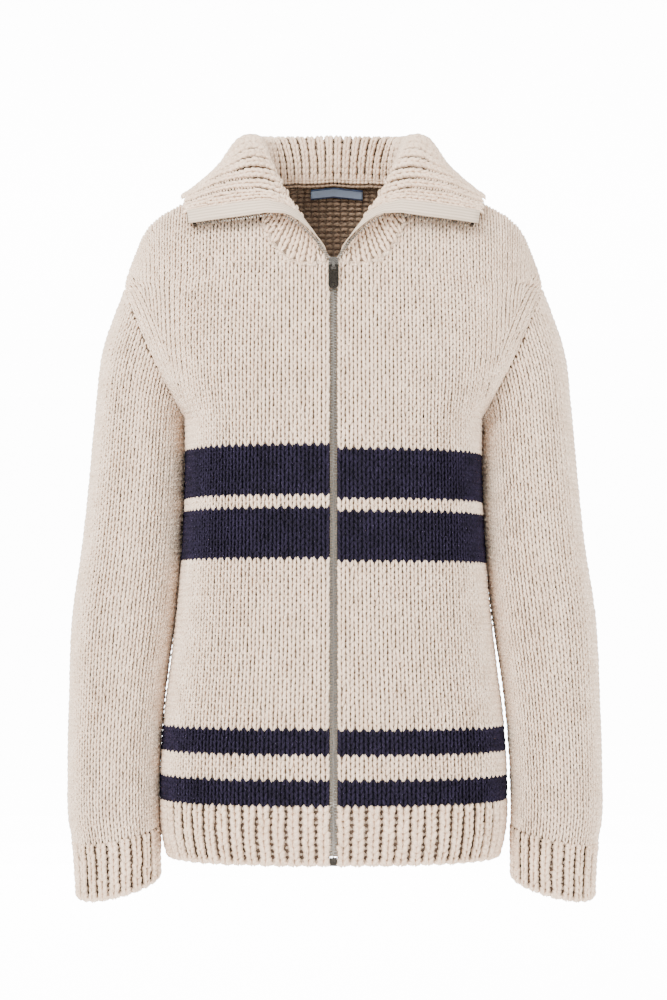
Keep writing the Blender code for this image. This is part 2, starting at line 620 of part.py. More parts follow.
# ------------------------------------------------------------------ zip
def rail(across, depth):
    """A line that follows the left half of the zip, from the hem up the front and on round the
    collar's edge: across is measured in from the cloth's edge, depth from its face on the
    wearer's side, towards the wearer."""
    share = ZIP_SLOT + across / HALF_GIRTH
    heights = np.linspace(HEM_BOTTOM + STOP_BOX[2] + ABOVE_BOX, HEM_TOP - SEAM, ZIP_HEM_POINTS)
    hem = sections(heights, np.array([share]), -1)[:, 0] + (0, WALL + RIB_BACK + depth, 0)
    levels = np.linspace(0.01, np.interp(NECK_FRONT, front.grid[0, :, 2], front.levels), ZIP_BODY_POINTS)
    share = np.full(len(levels), share)
    body = front.at(share, levels) - (WALL + depth) * front.normal(share, levels)
    alongs = np.array(COLLAR_ROWS[1:-1] + ZIP_ENDS)
    inside = np.full(len(alongs), max(across, 0.0) / COLLAR_HALF_RUN)
    normal = collar.normal(inside, alongs)
    pressed = UNDER_TAPE if depth < 0 else 0.0
    edge = collar.at(inside, alongs) + (depth - pressed) * normal
    if across < 0:
        into = unit(collar.at(inside + TAPE_WIDE / COLLAR_HALF_RUN, alongs) - collar.at(inside, alongs))
        edge = edge + (across - TEETH_CLEAR) * into
    line = np.concatenate([hem, body, edge])
    line[:, 0] = np.minimum(line[:, 0], -SEAM / 2)
    return line


def strip(name, across, depth, material, mirror, span=slice(None)):
    """A flat bar along the zip, across and depth as for the rail."""
    near = np.stack([rail(x, depth[0])[span] for x in across])
    far = np.stack([rail(x, depth[1])[span] for x in across])
    wall(name, near, far, material, mirror=mirror)


def make_zip():
    across = np.linspace(0, TAPE_WIDE, 4)
    for side, mirror in (("left", False), ("right", True)):
        strip("zip_tape_" + side, across, (TAPE_OFF + TAPE_THICK, TAPE_OFF), tape, mirror)
        teeth = (-TEETH_IN - TEETH_WIDE, -TEETH_IN), (-TEETH_OUT, -TEETH_OUT - TEETH_THICK)
        strip("zip_chain_" + side, *teeth, nickel, mirror, slice(0, -1))


def make_top_stops():
    """A clip on each end of the zip, just past the last tooth."""
    for side, mirror in (("left", False), ("right", True)):
        faces = []
        for depth in (0.0, -TEETH_OUT - TEETH_THICK):
            lines = [rail(x, depth)[-2:] for x in (-TEETH_IN - TEETH_WIDE, -TEETH_IN)]
            start = [line[0] + SEAM * unit(line[1] - line[0]) for line in lines]
            end = [line[0] + (SEAM + TOP_STOP_LONG) * unit(line[1] - line[0]) for line in lines]
            faces.append(np.stack([start, end], axis=1))
        wall("stop_" + side, faces[0], faces[1], gunmetal, mirror=mirror)


# ------------------------------------------------------------------ slider, pull tab, stops and label
def on_front(height):
    """The frame of the front's face at the zip: its origin, and its X, into and up axes as rows."""
    levels = np.interp([height - 4, height, height + 4], front.grid[0, :, 2], front.levels)
    low, origin, high = front.at(np.zeros(3), levels)
    up = unit(high - low)
    return origin, np.array([(1.0, 0.0, 0.0), (0.0, up[2], -up[1]), up])


def solid(outline, depth, place):
    """A plate with an outline in X and up, from depth[0] to depth[1] into the cloth."""
    origin, axes = place
    mesh = bpy.data.meshes.new("solid")
    plate = bmesh.new()
    rings = []
    for into in depth:
        ring = [origin + x * axes[0] + into * axes[1] + up * axes[2] for x, up in outline]
        rings.append([plate.verts.new(point * MM) for point in ring])
    plate.faces.new(rings[0])
    plate.faces.new(rings[1][::-1])
    for number in range(len(outline)):
        after = (number + 1) % len(outline)
        plate.faces.new([rings[0][after], rings[0][number], rings[1][number], rings[1][after]])
    bmesh.ops.recalc_face_normals(plate, faces=plate.faces)
    plate.to_mesh(mesh)
    plate.free()
    return mesh


def rounded(width, low, high, low_corner, high_corner, steps=5):
    """A rectangle's outline with rounded corners, from its bottom left round to its top left."""
    corners = ((-1, low, low_corner, math.pi), (1, low, low_corner, 1.5 * math.pi),
               (1, high, high_corner, 0.0), (-1, high, high_corner, 0.5 * math.pi))
    outline = []
    for side, height, radius, start in corners:
        turn = start + np.linspace(0, math.pi / 2, steps)
        inward = radius if height == low else -radius
        outline += list(zip(side * (width / 2 - radius) + radius * np.cos(turn),
                            height + inward + radius * np.sin(turn)))
    return outline


def rectangle(width, low, high):
    return [(-width / 2, low), (width / 2, low), (width / 2, high), (-width / 2, high)]


def circle(radius, height, sides=16):
    turn = np.arange(sides) * 2 * math.pi / sides
    return list(zip(radius * np.cos(turn), height + radius * np.sin(turn)))


def combine(name, base, steps, material):
    """Joins meshes to a first one, or cuts them from it, with Boolean modifiers."""
    thing = put(name, base, material)
    for number, (operation, mesh) in enumerate(steps):
        tool = bpy.data.objects.new("%s_tool_%d" % (name, number), mesh)
        tool.hide_render = True
        tool.display_type = "WIRE"
        tools.objects.link(tool)
        step = thing.modifiers.new("step_%d" % number, "BOOLEAN")
        step.operation = operation
        step.solver = "EXACT"
        step.object = tool
    return thing


def make_slider():
    place = on_front(SLIDER_HEIGHT)
    top = SLIDER_TALL / 2
    face = -SLIDER_OFF - SLIDER_PLATE
    behind = WALL + TAPE_OFF + TAPE_THICK + SEAM
    crown = face - BRIDGE_OUT
    low, high = -BRIDGE_LONG / 2, BRIDGE_LONG / 2
    plate = solid(rounded(SLIDER_WIDE, -top, top, 2.0, 3.2), (face, -SLIDER_OFF), place)
    combine("slider", plate, (
        ("UNION", solid(rectangle(SLIDER_POST[0], top - SLIDER_POST[1], top - 0.3),
                        (face + 0.5, behind + 0.6), place)),
        ("UNION", solid(rounded(SLIDER_WIDE - 1.6, -top, top, 1.6, 2.8),
                        (behind, behind + SLIDER_PLATE), place)),
        ("UNION", solid(rectangle(BRIDGE_WIDE, high - BRIDGE_THICK, high), (crown + 0.1, face + 0.5), place)),
        ("UNION", solid(rectangle(BRIDGE_WIDE, low, low + BRIDGE_THICK), (crown + 0.1, face + 0.5), place)),
        ("UNION", solid(rectangle(BRIDGE_WIDE - 0.1, low + 0.1, high - 0.1),
                        (crown, crown + BRIDGE_THICK), place)),
    ), gunmetal)


def make_pull_tab():
    place = on_front(SLIDER_HEIGHT)
    middle = -SLIDER_OFF - SLIDER_PLATE - (BRIDGE_OUT - BRIDGE_THICK) / 2
    hinge = -PULL_DROP
    top = hinge + PULL_BAR / 2
    bottom = top - PULL_LONG
    sill = top - PULL_BAR - PULL_WINDOW[1]
    front_face = middle - PULL_THICK / 2
    plate = solid(rounded(PULL_WIDE, bottom, top, 3.4, 1.2), (front_face, middle + PULL_THICK / 2), place)
    window = rounded(PULL_WINDOW[0], sill, top - PULL_BAR, 1.0, 1.0, 3)
    through = (front_face - 1, middle + PULL_THICK / 2 + 1)
    field = rounded(PULL_FIELD[0], sill - 2.4 - PULL_FIELD[1], sill - 2.4, 0.8, 0.8, 3)
    combine("pull_tab", plate, (
        ("DIFFERENCE", solid(window, through, place)),
        ("DIFFERENCE", solid(circle(PULL_HOLE, bottom + 4.0), through, place)),
        ("UNION", solid(field, (front_face - 0.3, front_face + 0.4), place)),
    ), gunmetal)
    origin, axes = place
    return origin + middle * axes[1] + hinge * axes[2]


def make_stop_box():
    wide, deep, tall = STOP_BOX
    hem = sections(np.array([HEM_BOTTOM + tall / 2]), np.array([0.0]), -1)[0, 0]
    place = hem, np.identity(3)
    box = solid(rounded(wide, -tall / 2, tall / 2, 0.8, 0.8, 3), (-0.3, deep - 0.3), place)
    put("stop_box", box, gunmetal)


def make_label():
    """A woven strip inside the back, just under the neckline."""
    share, level = neckline(back, 2)
    run = lengths(back.at(np.zeros(60), np.linspace(1, 2, 60)))[-1]
    levels = level[0] - (LABEL_DROP + np.array([0.0, 0.5, 1.0]) * LABEL_TALL) / run
    width = -back.at(np.array([0.1]), level[:1])[0, 0] / 0.1
    shares = -np.linspace(LABEL_LEFT, LABEL_RIGHT, 7) / width
    share, level = np.meshgrid(shares, levels, indexing="ij")
    face, away = back.at(share, level), back.normal(share, level)
    depth = WALL + LABEL_OFF
    wall("neck_label", face - depth * away, face - (depth + LABEL_THICK) * away, label_blue)


# ------------------------------------------------------------------ the garment
for old in list(bpy.data.objects):
    bpy.data.objects.remove(old, do_unlink=True)

garment = bpy.data.collections.new("zip_up_cardigan")
tools = bpy.data.collections.new("tools")
bpy.context.scene.collection.children.link(garment)
bpy.context.scene.collection.children.link(tools)

cream = finish("cream wool", CREAM, 0.95)
gunmetal = finish("gunmetal", GUNMETAL, 0.35, 1.0)
nickel = finish("nickel", NICKEL, 0.35, 1.0)
tape = finish("zip tape", TAPE, 0.9)
label_blue = finish("woven label", LABEL_BLUE, 0.7)

front = TorsoSheet(-1)
back = TorsoSheet(1)
collar = CollarSheet()

make_fronts()
make_back()
make_hems()
make_sleeves()
make_cuffs()
make_collar()
make_zip()
make_top_stops()
make_slider()
hinge = make_pull_tab()
make_stop_box()
make_label()
print("the pull tab's hinge, mm:", np.round(hinge, 2))
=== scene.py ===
import math

import bpy
import numpy as np
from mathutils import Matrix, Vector


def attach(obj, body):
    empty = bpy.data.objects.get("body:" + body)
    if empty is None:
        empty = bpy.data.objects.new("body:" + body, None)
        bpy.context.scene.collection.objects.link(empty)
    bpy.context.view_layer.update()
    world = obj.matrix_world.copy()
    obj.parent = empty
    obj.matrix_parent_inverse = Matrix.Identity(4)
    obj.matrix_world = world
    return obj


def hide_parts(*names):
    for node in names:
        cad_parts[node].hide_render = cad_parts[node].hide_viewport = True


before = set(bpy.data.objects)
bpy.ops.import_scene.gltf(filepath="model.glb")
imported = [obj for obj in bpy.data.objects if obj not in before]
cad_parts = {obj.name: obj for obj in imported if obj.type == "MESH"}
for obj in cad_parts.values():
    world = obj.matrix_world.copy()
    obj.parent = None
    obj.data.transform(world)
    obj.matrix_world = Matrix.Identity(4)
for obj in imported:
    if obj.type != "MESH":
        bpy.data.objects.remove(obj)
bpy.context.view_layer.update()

mm = 0.001
rng = np.random.default_rng(11)      # every small unevenness of the hand comes from this


# Curves and grids. All shapes are worked out in millimetres.
def smoothRows(knots, rows, at):
    # a cubic through a table's rows, each row's slope being that of the chord between its neighbours
    rows = np.asarray(rows, float).reshape(len(knots), -1)
    slopes = np.gradient(rows, knots, axis=0)
    at = np.clip(np.atleast_1d(at), knots[0], knots[-1])
    cell = np.clip(np.searchsorted(knots, at, side="right") - 1, 0, len(knots) - 2)
    step = (knots[cell + 1] - knots[cell])[:, None]
    x = ((at - knots[cell])[:, None]) / step
    start = (2 * x**3 - 3 * x**2 + 1) * rows[cell] + (x**3 - 2 * x**2 + x) * step * slopes[cell]
    end = (3 * x**2 - 2 * x**3) * rows[cell + 1] + (x**3 - x**2) * step * slopes[cell + 1]
    return start + end

def lengths(points):
    # distance run along each row of points
    steps = np.linalg.norm(np.diff(points, axis=-2), axis=-1)
    return np.concatenate([np.zeros(steps.shape[:-1] + (1,)), np.cumsum(steps, axis=-1)], axis=-1)


def readAlong(at, run, points):
    # the points of a line at some distances along it, where run says how far along its own points lie
    return np.stack([np.interp(at, run, values) for values in points.T], axis=-1)


def unit(vectors):
    return vectors / np.maximum(np.linalg.norm(vectors, axis=-1, keepdims=True), 1e-9)


def squareTo(vectors, axis):
    # the vectors less their part along an axis
    return vectors - np.sum(vectors * axis, axis=-1, keepdims=True) * axis


def readGrid(grid, first, second):
    # a point between four neighbours of a grid, weighted by nearness along each axis
    i = np.clip(first, 0, 1) * (grid.shape[0] - 1)
    j = np.clip(second, 0, 1) * (grid.shape[1] - 1)
    i0 = np.clip(i.astype(int), 0, grid.shape[0] - 2)
    j0 = np.clip(j.astype(int), 0, grid.shape[1] - 2)
    a, b = (i - i0)[..., None], (j - j0)[..., None]
    return ((1 - a) * (1 - b) * grid[i0, j0] + a * (1 - b) * grid[i0 + 1, j0]
            + (1 - a) * b * grid[i0, j0 + 1] + a * b * grid[i0 + 1, j0 + 1])


class ClothSheet:
    # a face of cloth: u runs across the columns of stitches, v up them, both from 0 to 1
    def __init__(self, grid, turn=1.0):
        self.grid, self.turn = grid, turn

    def at(self, u, v):
        return readGrid(self.grid, np.asarray(u, float), np.asarray(v, float))

    def normal(self, u, v, step=0.006):
        left, right = np.clip(u - step, 0, 1), np.clip(u + step, 0, 1)
        low, high = np.clip(v - step, 0, 1), np.clip(v + step, 0, 1)
        across, up = self.at(right, v) - self.at(left, v), self.at(u, high) - self.at(u, low)
        return unit(np.cross(across, up) * self.turn)


# The body. Table rows: height, half width, depth to the front, depth to the back, squareness.
body = {
    "wall": 4.0, "seam": 0.3, "hemBottom": -678.0, "hemTop": -622.0, "armpit": -247.0,
    "shoulderPoint": -115.0, "armpitHalf": 147.0, "shoulderHalf": 208.0,
    "armholeFront": 52.0, "armholeBack": 48.0, "armholeBow": 3.0,
    "crowding": 0.08,                              # share by which columns are wider at the centre
    "shoulderFront": 2.2, "shoulderBack": 2.6,     # squareness over the shoulder
    "neckHalf": 80.0, "neckFront": -100.0, "neckBackDepth": 62.0,
    "cornerFront": 3.0, "cornerBack": 2.4,         # squareness of the neckline's corner
    "halfGirth": 215.0, "zipSlot": 0.015, "columnsFront": 29, "columnsBack": 58,
    "rowTallLeft": 6.02, "rowTallRight": 5.95, "rowTallBack": 6.0,
    "sections": np.array([
        (-678, 163, 107, 102, 2.5), (-658, 168, 110, 105, 2.5), (-622, 170.5, 111, 107, 2.5),
        (-554, 168, 111, 104, 2.5), (-480, 159.5, 111, 100, 2.5), (-392, 150.5, 113, 100, 2.6),
        (-300, 146.5, 115, 106, 2.6), (-247, 147, 112, 111, 2.6), (-190, 147, 103, 112, 2.5),
        (-150, 147, 95, 110, 2.4), (-115, 147, 91, 107, 2.3)]),
    "shoulder": np.array([
        (0, 18), (40, 13), (80, -1), (105, -11), (130, -21), (155, -33), (173, -43), (184, -53),
        (191, -64), (198, -83), (203.5, -100), (208, -115)]),
}


def bodySections(heights, shares, side):
    # x is half the width times cos^(2/squareness), y the depth times sin^(2/squareness), spaced by length
    heights = np.atleast_1d(heights)
    table = smoothRows(body["sections"][:, 0], body["sections"][:, 1:], heights)
    half, depth, power = table[:, 0], table[:, 1 if side < 0 else 2], table[:, 3]
    rise = np.clip((heights - body["armpit"]) / (body["shoulderPoint"] - body["armpit"]), 0, 1)
    bow = (body["armholeFront"] if side < 0 else body["armholeBack"]) * np.sqrt(4 * rise * (1 - rise))
    seamX = (body["armpitHalf"] + (body["shoulderHalf"] - body["armpitHalf"]) * rise
             + body["armholeBow"] * np.sin(math.pi * rise))
    half = np.where(heights > body["armpit"], seamX / (1 - (bow / depth) ** power) ** (1 / power), half)
    last = np.arcsin((bow / depth) ** (power / 2))
    angle = math.pi / 2 + (last - math.pi / 2)[:, None] * np.linspace(0, 1, 240)[None, :]
    x = half[:, None] * np.abs(np.cos(angle)) ** (2 / power[:, None])
    y = depth[:, None] * np.abs(np.sin(angle)) ** (2 / power[:, None])
    run = lengths(np.stack([x, y], axis=-1))
    spread = 1 + body["crowding"] * (1 - rise)[:, None]
    want = (spread * shares[None, :] - (spread - 1) * shares[None, :] ** 2) * run[:, -1:]
    out = np.empty((len(heights), len(shares), 3))
    for row in range(len(heights)):
        out[row, :, 0] = -np.interp(want[row], run[row], x[row])
        out[row, :, 1] = side * np.interp(want[row], run[row], y[row])
    out[:, :, 2] = heights[:, None]
    return out


def bodySheet(side):
    # u from the centre to the side seam, v from the hem to the armpit (0.5) and on to the shoulder line (1)
    shares = np.linspace(0, 1, 81)
    heights = np.linspace(body["hemTop"], body["shoulderPoint"], 140)
    low = bodySections(heights, shares, side)
    seamRun = lengths(body["shoulder"])
    topX, topZ = readAlong(shares * seamRun[-1], seamRun, body["shoulder"]).T
    turn = np.linspace(0, math.pi / 2, 60)[1:, None]
    roundOff = 2 / body["shoulderFront" if side < 0 else "shoulderBack"]
    base = low[-1]
    x = base[:, 0] + (-topX - base[:, 0]) * np.sin(turn) ** 2
    y = base[:, 1] * np.cos(turn) ** roundOff
    z = body["shoulderPoint"] + (topZ - body["shoulderPoint"]) * np.sin(turn) ** roundOff
    columns = np.concatenate([low, np.stack([x, y, z], axis=-1)], axis=0).transpose(1, 0, 2)
    run = lengths(columns)
    armpitRun = np.interp(body["armpit"], heights, run[-1, :len(heights)])
    levels = np.linspace(0, 2, 161)
    grid = []
    for distance, column in zip(run, columns):
        above = armpitRun + (levels - 1) * (distance[-1] - armpitRun)
        grid.append(readAlong(np.where(levels < 1, levels * armpitRun, above), distance, column))
    sheet = ClothSheet(np.array(grid), side)
    sheet.side, sheet.armpitRun = side, armpitRun
    return sheet


def neckline(sheet, count):
    # the neck's edge as u and v: a rounded corner from the centre out to the shoulder line
    seamRun = lengths(body["shoulder"])
    neckShare = np.interp(body["neckHalf"], body["shoulder"][:, 0], seamRun) / seamRun[-1]
    levels = np.linspace(0.5, 1, 400)
    column = sheet.at(np.zeros(400), levels)
    if sheet.side < 0:
        low, start = np.interp(body["neckFront"], column[:, 2], levels), body["zipSlot"]
    else:
        low, start = np.interp(-body["neckBackDepth"], -column[:, 1], levels), 0.0
    power = 2 / body["cornerFront" if sheet.side < 0 else "cornerBack"]
    turn = np.linspace(0, math.pi / 2, count)
    return start + (neckShare - start) * np.sin(turn) ** power, 1 - (1 - low) * np.cos(turn) ** power


frontSheet, backSheet = bodySheet(-1), bodySheet(1)
print("body sheets")

# The sleeves. Rings: run from the armhole, centre x, y, height, half width, half depth, lean, nod.
sleeve = {
    "cuffStart": 477.0, "cuffEnd": 529.0, "gap": 0.05, "columns": 42, "rowTall": 6.0, "cuffRibs": 22,
    "rightOut": 4.0, "outFrom": 200.0, "outOver": 300.0,     # the right one hangs further out, lower down
    "rings": np.array([
        (40, 189, 1, -217, 40, 56, 42, 0), (84, 192.7, -1, -262, 44, 58, 20, 0),
        (132, 195.8, -4, -310, 45.8, 58, 8, 0), (202, 201, -8, -380, 48, 56, 3, 0),
        (262, 207.6, -11, -440, 49.8, 53.5, 0, 1), (342, 213.9, -15, -520, 46.2, 50, -3, 2),
        (412, 216.6, -18, -590, 44.3, 47, -5, 3), (458, 216, -20, -636, 43.4, 44.5, -7, 5),
        (477, 213.8, -21, -655, 41.8, 42.5, -8, 6), (529, 211.4, -23, -707, 39.8, 40, -9, 7)]),
}


def sleeveSheet(start, end, rows, outward):
    # leaning ellipses that begin as the armhole itself; u goes once round, v from the far end back up
    angles = np.linspace(0, 2 * math.pi, 121)
    cos, sin = np.cos(angles), np.sin(angles)
    middle, reach = (body["armpit"] + body["shoulderPoint"]) / 2, (body["shoulderPoint"] - body["armpit"]) / 2
    levels = np.linspace(0.5, 1, 300)
    rim = np.empty((len(angles), 3))
    for sheet, chosen in ((frontSheet, sin >= 0), (backSheet, sin < 0)):
        column = sheet.at(np.ones(len(levels)), levels)
        at = np.interp((middle + reach * cos)[chosen], column[:, 2], levels)
        rim[chosen] = sheet.at(np.ones(len(at)), at)
    away = unit(np.array([-2 * reach, 0.0, body["armpitHalf"] - body["shoulderHalf"]]))
    rings = [rim + (body["seam"] + sleeve["gap"]) * away]
    for run, x, y, height, wide, deep, lean, nod in sleeve["rings"]:
        x = x + outward * np.clip((run - sleeve["outFrom"]) / sleeve["outOver"], 0, 1)
        rings.append(np.stack([-(x + wide * cos), y - deep * sin, height + lean * cos - nod * sin], axis=-1))
    knots = np.concatenate([[0.0], sleeve["rings"][:, 0]])
    along = np.linspace(end, start, rows)
    points = smoothRows(knots, np.array(rings).reshape(len(rings), -1), along).reshape(rows, len(angles), 3)
    return ClothSheet(points.transpose(1, 0, 2), 1.0)


# The collar, from the zip to the centre back: share, then x, y, z of the fold, brow, fall and free edge.
collar = {
    "ribs": 44, "rowTall": 6.3, "atShoulder": 0.39, "start": 2.0, "halfRun": 215.0,
    "stand": (0.45, 0.55), "hollow": 5.0, "hollowOver": 0.1, "clear": 7.5, "ramp": 0.15,
    "thick": 4.6, "thinEdge": 0.35, "thinShare": 0.30, "besideTape": 0.041,
    "standSeen": 0.5, "standColumns": 20, "standLeg": (0.32, 1.9, 1.8),
    "neckCentre": np.array([0.0, -10.0, 0.0]),
    "lines": np.array([
        (0.00, 10, -94, -90, 46, -98, -55, 95, -90, -56, 143, -72, -60),
        (0.07, 29, -76, -63, 54, -91, -43, 97, -84, -43, 145, -60, -47),
        (0.14, 43, -70, -38, 63, -82, -28, 99, -75, -27, 147, -47, -35),
        (0.28, 62, -46, 5, 76, -54, 10, 106, -46, 0, 150, -11, -22),
        (0.42, 72, -12, 34, 85, -16, 36, 114, -6, 9, 146, 28, -25),
        (0.56, 73, 18, 42, 86, 22, 42, 110, 40, 8, 130, 66, -37),
        (0.70, 61, 43, 47, 70, 54, 47, 87, 76, 6, 96, 98, -46),
        (0.85, 32, 59, 51, 36, 72, 50, 45, 95, 5, 50, 116, -48),
        (1.00, 0, 64, 53, 0, 77, 52, 0, 99, 5, 0, 120, -48)]),
}


def collarSeam(shares):
    # where each rib starts on the neckline, by length along it
    lines = [sheet.at(*neckline(sheet, 160)) for sheet in (frontSheet, backSheet)]
    run = [lengths(line) for line in lines]
    onFront = shares < collar["atShoulder"]
    want = collar["start"] + shares[onFront] / collar["atShoulder"] * (run[0][-1] - collar["start"])
    rest = (1 - shares[~onFront]) / (1 - collar["atShoulder"]) * run[1][-1]
    base = np.empty((len(shares), 3))
    base[onFront] = readAlong(want, run[0], lines[0])
    base[~onFront] = readAlong(rest, run[1], lines[1])
    return base


def towardsNeck(points):
    # from each point straight in to the line down the middle of the neck
    return collar["neckCentre"] * (1, 1, 0) + points * (0, 0, 1) - points


def liftOffBody(points, need):
    # points moved out from the body's face wherever they lie closer to it than they need
    share, level = np.meshgrid(np.linspace(0, 1, 41), np.linspace(0.5, 1, 61), indexing="ij")
    skin = np.concatenate([sheet.at(share, level).reshape(-1, 3) for sheet in (frontSheet, backSheet)])
    away = np.concatenate([sheet.normal(share, level).reshape(-1, 3) for sheet in (frontSheet, backSheet)])
    lifted = points.copy()
    for number, row in enumerate(points):
        nearest = np.argmin(np.sum((row[:, None] - skin[None]) ** 2, axis=-1), axis=1)
        gap = np.sum((row - skin[nearest]) * away[nearest], axis=-1)
        lifted[number] += np.maximum(need[number] - gap, 0)[:, None] * away[nearest]
    return lifted


def collarSheet():
    # each rib is a cubic through six points, even in length; the second half is the first one mirrored
    shares, alongs = np.linspace(0, 1, 2 * collar["ribs"] + 1), np.linspace(0, 1, 61)
    base = collarSeam(shares)
    rows = smoothRows(collar["lines"][:, 0], collar["lines"][:, 1:], shares)
    fold, brow, fall, edge = (rows[:, first:first + 3] * (-1, 1, 1) for first in (0, 3, 6, 9))
    rise = unit(fold - base)
    toNeck = unit(squareTo(towardsNeck(base), rise))
    base = base + 3 * body["seam"] * unit(rise + toNeck) + collar["thick"] * toNeck
    hollow = collar["hollow"] * np.clip(shares / collar["hollowOver"], 0, 1)[:, None]
    low, high = collar["stand"]
    path = np.stack([base, low * base + high * fold + hollow * toNeck, fold, brow, fall, edge], axis=1)
    run = lengths(path)
    knots = run / run[:, -1:]
    points = np.stack([smoothRows(*rib, alongs) for rib in zip(knots, path)])
    past = np.clip((alongs[None, :] - knots[:, 2:3]) / collar["ramp"], 0, 1)
    half = liftOffBody(points, collar["clear"] * past**2 * (3 - 2 * past))
    return ClothSheet(np.concatenate([half, half[-2::-1] * (-1, 1, 1)]), 1.0)


collarFace = collarSheet()
print("collar sheet")


# Meshes
def linear(code):
    # an sRGB hex colour as the linear values that a shader takes
    value = np.array([int(code[i:i + 2], 16) for i in (1, 3, 5)]) / 255
    return (*np.where(value <= 0.04045, value / 12.92, ((value + 0.055) / 1.055) ** 2.4), 1.0)


def addObject(name, data):
    thing = bpy.data.objects.new(name, data)
    bpy.context.scene.collection.objects.link(thing)
    return thing


def makePiece(name, points, faces, materials, pick=None, uv=None, mirror=False):
    # a mesh from whole arrays; a mirrored one has its faces turned the other way round
    if mirror:
        points, faces = points * (-1, 1, 1), faces[:, ::-1]
    mesh = bpy.data.meshes.new(name)
    mesh.vertices.add(len(points))
    mesh.vertices.foreach_set("co", (points * mm).astype(np.float32).ravel())
    mesh.loops.add(faces.size)
    mesh.loops.foreach_set("vertex_index", faces.astype(np.int32).ravel())
    mesh.polygons.add(len(faces))
    mesh.polygons.foreach_set("loop_start", np.arange(0, faces.size, faces.shape[1], dtype=np.int32))
    mesh.update(calc_edges=True)
    for material in materials:
        mesh.materials.append(material)
    if pick is not None:
        mesh.polygons.foreach_set("material_index", pick.astype(np.int32))
    mesh.polygons.foreach_set("use_smooth", np.ones(len(faces), dtype=bool))
    if uv is not None:
        layer = mesh.uv_layers.new(name="yarnMap")
        layer.data.foreach_set("uv", uv[faces.ravel()].astype(np.float32).ravel())
    mesh.validate()
    piece = addObject(name, mesh)
    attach(piece, "cardigan")
    return piece


def gridQuads(numbers, flip):
    corners = numbers[:-1, :-1], numbers[1:, :-1], numbers[1:, 1:], numbers[:-1, 1:]
    quads = np.stack(corners, axis=-1).reshape(-1, 4)
    return quads[:, ::-1] if flip else quads


def makeShell(name, outer, inner, materials, pick=None, closed=False, mirror=False, turn=False):
    # two grids of points, face and back, joined round their rims; pick gives each row of quads its material
    count, rows = outer.shape[:2]
    pick = np.zeros(rows - 1) if pick is None else pick
    face = np.arange(count * rows).reshape(count, rows)
    back = face + face.size
    if closed:
        face, back = np.concatenate([face[:-1], face[:1]]), np.concatenate([back[:-1], back[:1]])
    parts = [gridQuads(face, turn), gridQuads(back, not turn)]
    picks = [np.tile(pick, count - 1), np.tile(pick, count - 1)]
    rims = [(face[:, 0], back[:, 0], False), (face[:, -1], back[:, -1], True)]
    if not closed:
        rims += [(face[0], back[0], True), (face[-1], back[-1], False)]
    for near, far, flip in rims:
        quads = np.stack([near[:-1], far[:-1], far[1:], near[1:]], axis=-1)
        parts.append(quads[:, ::-1] if flip != turn else quads)
        picks.append(np.zeros(len(quads)))
    u, v = np.meshgrid(np.arange(count), np.arange(rows), indexing="ij")
    uv = np.tile(np.stack([u, v], axis=-1).reshape(-1, 2), (2, 1))
    points = np.concatenate([outer.reshape(-1, 3), inner.reshape(-1, 3)])
    return makePiece(name, points, np.concatenate(parts), materials, np.concatenate(picks), uv, mirror)


# One leg of a stitch: a short spindle of yarn along a line, thick in the middle and drawn in at both ends.
# a is across in columns, b up in rows, c out in mm; wide and tall are the yarn's half sizes in mm.
def legShape(*values):
    return dict(zip(("a", "b", "c", "wide", "tall"), map(np.array, values)))


stitch = {
    "leg": (0.34, 1.75, 1.75),          # the legs' tops, in columns from the middle, and half sizes
    "uneven": 0.07,                     # share by which sizes vary from stitch to stitch
    "wander": (0.025, 0.03, 0.12),      # how far a leg strays across, up and out
    "fluff": (0.8, 1.35),               # a leg's least and greatest size where columns narrow and widen
    "over": 0.6,                        # share of the top row that may run past the sheet's end
    "shownFrom": 0.25,                  # how far up a row is the point that has to be on the panel
}


def veeLegs(spread, halfWide, halfTall):
    # a V: both legs start low in the middle of the column and lean out as they rise
    a = spread * np.array([0.30, 0.44, 0.72, 0.96, 1.02])
    b, c = [-0.42, 0.0, 0.5, 1.0, 1.42], [-1.5, -0.35, 0.2, -0.15, -1.5]
    wide, tall = halfWide * np.array([0.92, 1.0, 0.90]), halfTall * np.array([0.92, 1.0, 0.9])
    return [legShape(a, b, c, wide, tall), legShape(-a, b, c, wide, tall)]


def barLeg(reach, halfWide, halfTall, lift=0.0):
    # a purl bump: a short bar across the column, bowed out in its middle
    a = reach * np.array([-1.1, -0.75, 0.0, 0.75, 1.1])
    return [legShape(a, [0.42, 0.5, 0.6, 0.5, 0.42], np.array([-1.2, 0.0, 0.5, 0.0, -1.2]) + lift,
                     halfWide * np.array([0.85, 1.0, 0.85]), halfTall * np.array([0.85, 1.0, 0.85]))]


